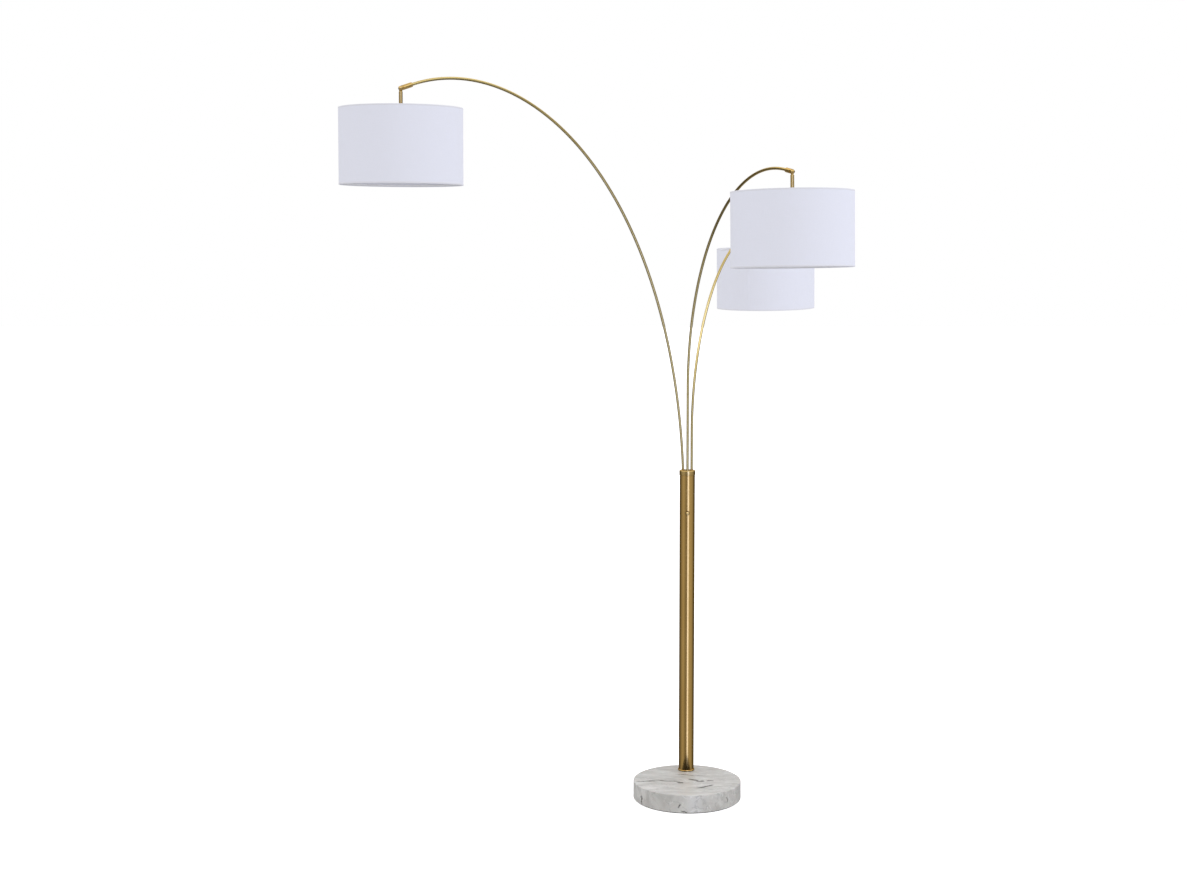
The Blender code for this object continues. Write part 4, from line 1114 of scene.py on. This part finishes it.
wall = SHADE_RADIUS - CLOTH
wall_ends = (SHADE_TOP - 0.0005, SHADE_LOW + 0.0005)
for count, (side, arm) in enumerate(ARMS.items()):
    place = frame_at(arm["pin"], math.radians(arm["azimuth"]), -math.radians(arm["shade_tilt"]))
    body = side + "_shade"
    phase = 1.9 * count + 0.7
    hanging_rod = drop_rod(side + "_hanging_rod", place)
    hand_over(hanging_rod, body, fitting_brass, [side + "_drop_rod"])
    hang("brass_cup", [turned(cup_profile, 96, ring=True)], fitting_brass, "holder_cup")
    hang("threaded_holder", [turned(holder_profile, HOLDER_SIDES, radial=thread_cut)],
         black_plastic, "lamp_holder")
    hang("ribbed_ring_nut", [turned(ring_profile, RING_SIDES, ring=True, radial=ribs)],
         black_plastic, "shade_ring_nut")
    hang("frosted_bulb", [turned(glass_profile, 96)], frosted, "bulb")
    hang("bulb_screw_cap", [turned(screw_profile, SCREW_SIDES, radial=screw_cut)],
         fitting_brass)
    hand_over(spider(side + "_wire_spider", place), body, white_coat, [side + "_shade_spider"])
    hang("lower_wire_ring", [ring_of_wire(SHADE_LOW + RING_INSET)],
         white_coat, "shade_bottom_ring")
    hang("shade_lining", [drum_wall(wall - BACKING, wall, *wall_ends, phase)], painted_shade_backing)
    cover = hang("shade_cover", [drum_wall(wall, SHADE_RADIUS, *wall_ends, phase)],
                 shade_cloth, "drum_shade")
    upper = hang("upper_hem", [hem(SHADE_TOP, -1, phase)], hem_tape)
    lower = hang("lower_hem", [hem(SHADE_LOW, 1, phase)], hem_tape)
    strip = hang("glued_lap", lap(math.pi, phase), shade_cloth)

# %% [markdown]
# ## Floor, light and camera
# The lamp stands on a plain pale floor that runs out of sight. Even light from all round does most of the
# work. A soft light on the right makes the right side of each drum brighter, and one overhead lifts the
# tops a little. The floor is left out of the reflections and throws no light back, so both can be set alone.

# %% Floor
FLOOR = 30.0
floor_mesh = bpy.data.meshes.new("studio_floor")
floor_corners = np.array([(-1, -1, 0), (1, -1, 0), (1, 1, 0), (-1, 1, 0)]) * FLOOR
floor_mesh.from_pydata(floor_corners.tolist(), [], [(0, 1, 2, 3)])
studio_floor = bpy.data.objects.new("studio_floor", floor_mesh)
bpy.context.scene.collection.objects.link(studio_floor)
floor_paint = mottled("floor_paint", (0.79, 0.79, 0.79), (0.81, 0.81, 0.81), 0.4, 0.7, 0.00001,
                      Emission_Color=(1.0, 1.0, 1.0, 1.0), Emission_Strength=0.7)
floor_mesh.materials.append(floor_paint)
studio_floor.visible_glossy = False
studio_floor.visible_diffuse = False

# %% Soft lights
WHITE = (1.0, 1.0, 1.0)
COOL = (0.88, 0.94, 1.12)


def soft_light(name, place, target, size, power, tint=WHITE):
    """A soft box that faces its target and doesn't show in reflections."""
    data = bpy.data.lights.new(name, "AREA")
    data.shape = "RECTANGLE"
    data.size, data.size_y = size
    data.energy = power
    data.color = tint
    lamp = bpy.data.objects.new(name, data)
    bpy.context.scene.collection.objects.link(lamp)
    way = Vector(target) - Vector(place)
    lamp.matrix_world = Matrix.Translation(place) @ way.to_track_quat("-Z", "Y").to_matrix().to_4x4()
    lamp.visible_glossy = False
    return lamp


soft_light("key_right", (4.2, -1.9, 2.4), (0, 0, 1.3), (1.6, 2.6), 26, COOL)
soft_light("overhead", (0.0, -0.4, 4.6), (0, 0, 0), (4.0, 4.0), 12)

# %% [markdown]
# A brass tube shows the room squeezed into a strip: the middle of its face looks back at the viewer, and
# towards its edges it looks sideways and then behind. So the room that shiny surfaces see is drawn as a
# ramp round the compass, measured from the viewer and growing to the right: a window just right of the
# viewer with blue daylight in it, a wall on each side, a dark gap beyond each and a back wall. A ceiling
# lights what faces up. Matt surfaces see none of this, only an even light that is a little weaker below.

# %% The room, as the eye, a shiny surface and a matt surface each see it
ROOM = [(-180, 0.36), (-152, 0.30), (-136, 0.07), (-118, 0.13), (-95, 0.30), (-74, 0.46), (-52, 0.54),
        (-30, 0.34), (2, 0.26), (7, 1.9), (22, 1.9), (28, 0.56), (60, 0.52), (84, 0.42), (106, 0.15),
        (136, 0.07), (152, 0.28), (180, 0.36)]
WINDOW = (7, 22)
DAYLIGHT = (0.86, 1.03, 1.9)
CEILING = 1.1
MATT = (0.63, 1.07)

world = bpy.data.worlds.new("studio")
world.use_nodes = True
bpy.context.scene.world = world
sky = world.node_tree
backdrop = sky.nodes["Background"]
ray = sky.nodes.new("ShaderNodeLightPath").outputs
direction = split(sky, sky.nodes.new("ShaderNodeTexCoord").outputs["Generated"])
compass = calc(sky, "ARCTAN2", direction["X"], calc(sky, "MULTIPLY", direction["Y"], -1.0))
ramp = sky.nodes.new("ShaderNodeValToRGB")
sky.links.new(spread(sky, compass, -math.pi, math.pi), ramp.inputs[0])
stops = ramp.color_ramp.elements
for degrees, level in ROOM[1:-1]:
    stops.new((degrees + 180) / 360)
for stop, (degrees, level) in zip(stops, ROOM):
    stop.position = (degrees + 180) / 360
    stop.color = (level, level, level, 1.0 if degrees in WINDOW else 0.0)
shiny = calc(sky, "MULTIPLY", ramp.outputs[0], spread(sky, direction["Z"], -0.8, -0.35, 0.75, 1.0))
ceiling = calc(sky, "MULTIPLY", spread(sky, direction["Z"], 0.2, 0.5, 0.0, CEILING),
               spread(sky, direction["Z"], 0.72, 0.95, 1.0, 0.35))
shiny = calc(sky, "ADD", shiny, ceiling)
matt = spread(sky, direction["Z"], -1.0, 1.0, *MATT)
level = add(sky, "Mix", {0: ray["Is Glossy Ray"], 2: matt, 3: shiny}, data_type="FLOAT")
level = add(sky, "Mix", {0: ray["Is Camera Ray"], 2: level, 3: 1.0}, data_type="FLOAT")
sky.links.new(level, backdrop.inputs["Strength"])
in_window = calc(sky, "MULTIPLY", ramp.outputs["Alpha"], ray["Is Glossy Ray"])
sky.links.new(blended(sky, in_window, WHITE, DAYLIGHT), backdrop.inputs["Color"])
bpy.context.scene.view_settings.view_transform = "Standard"

# %% [markdown]
# The camera stands a little below the tops of the arms and looks slightly down, so the foot shows its top
# face, and the two nearer drums show a strip of lining under their rims.

# %% Camera
STAND = (-0.1489, -5.6796, 1.7168)
PITCH = math.radians(6.384)
YAW = math.radians(-1.414)
ROLL = math.radians(-0.090)
camera_data = bpy.data.cameras.new("camera")
camera_data.sensor_width = 36.0
camera_data.lens = 56.30
camera = bpy.data.objects.new("camera", camera_data)
bpy.context.scene.collection.objects.link(camera)
aim = Matrix.Rotation(-YAW, 4, "Z") @ Matrix.Rotation(math.pi / 2 - PITCH, 4, "X")
camera.matrix_world = Matrix.Translation(STAND) @ aim @ Matrix.Rotation(ROLL, 4, "Z")
bpy.context.scene.camera = camera
print("camera", [round(each, 2) for each in STAND], "lens", round(camera_data.lens, 1), "mm")
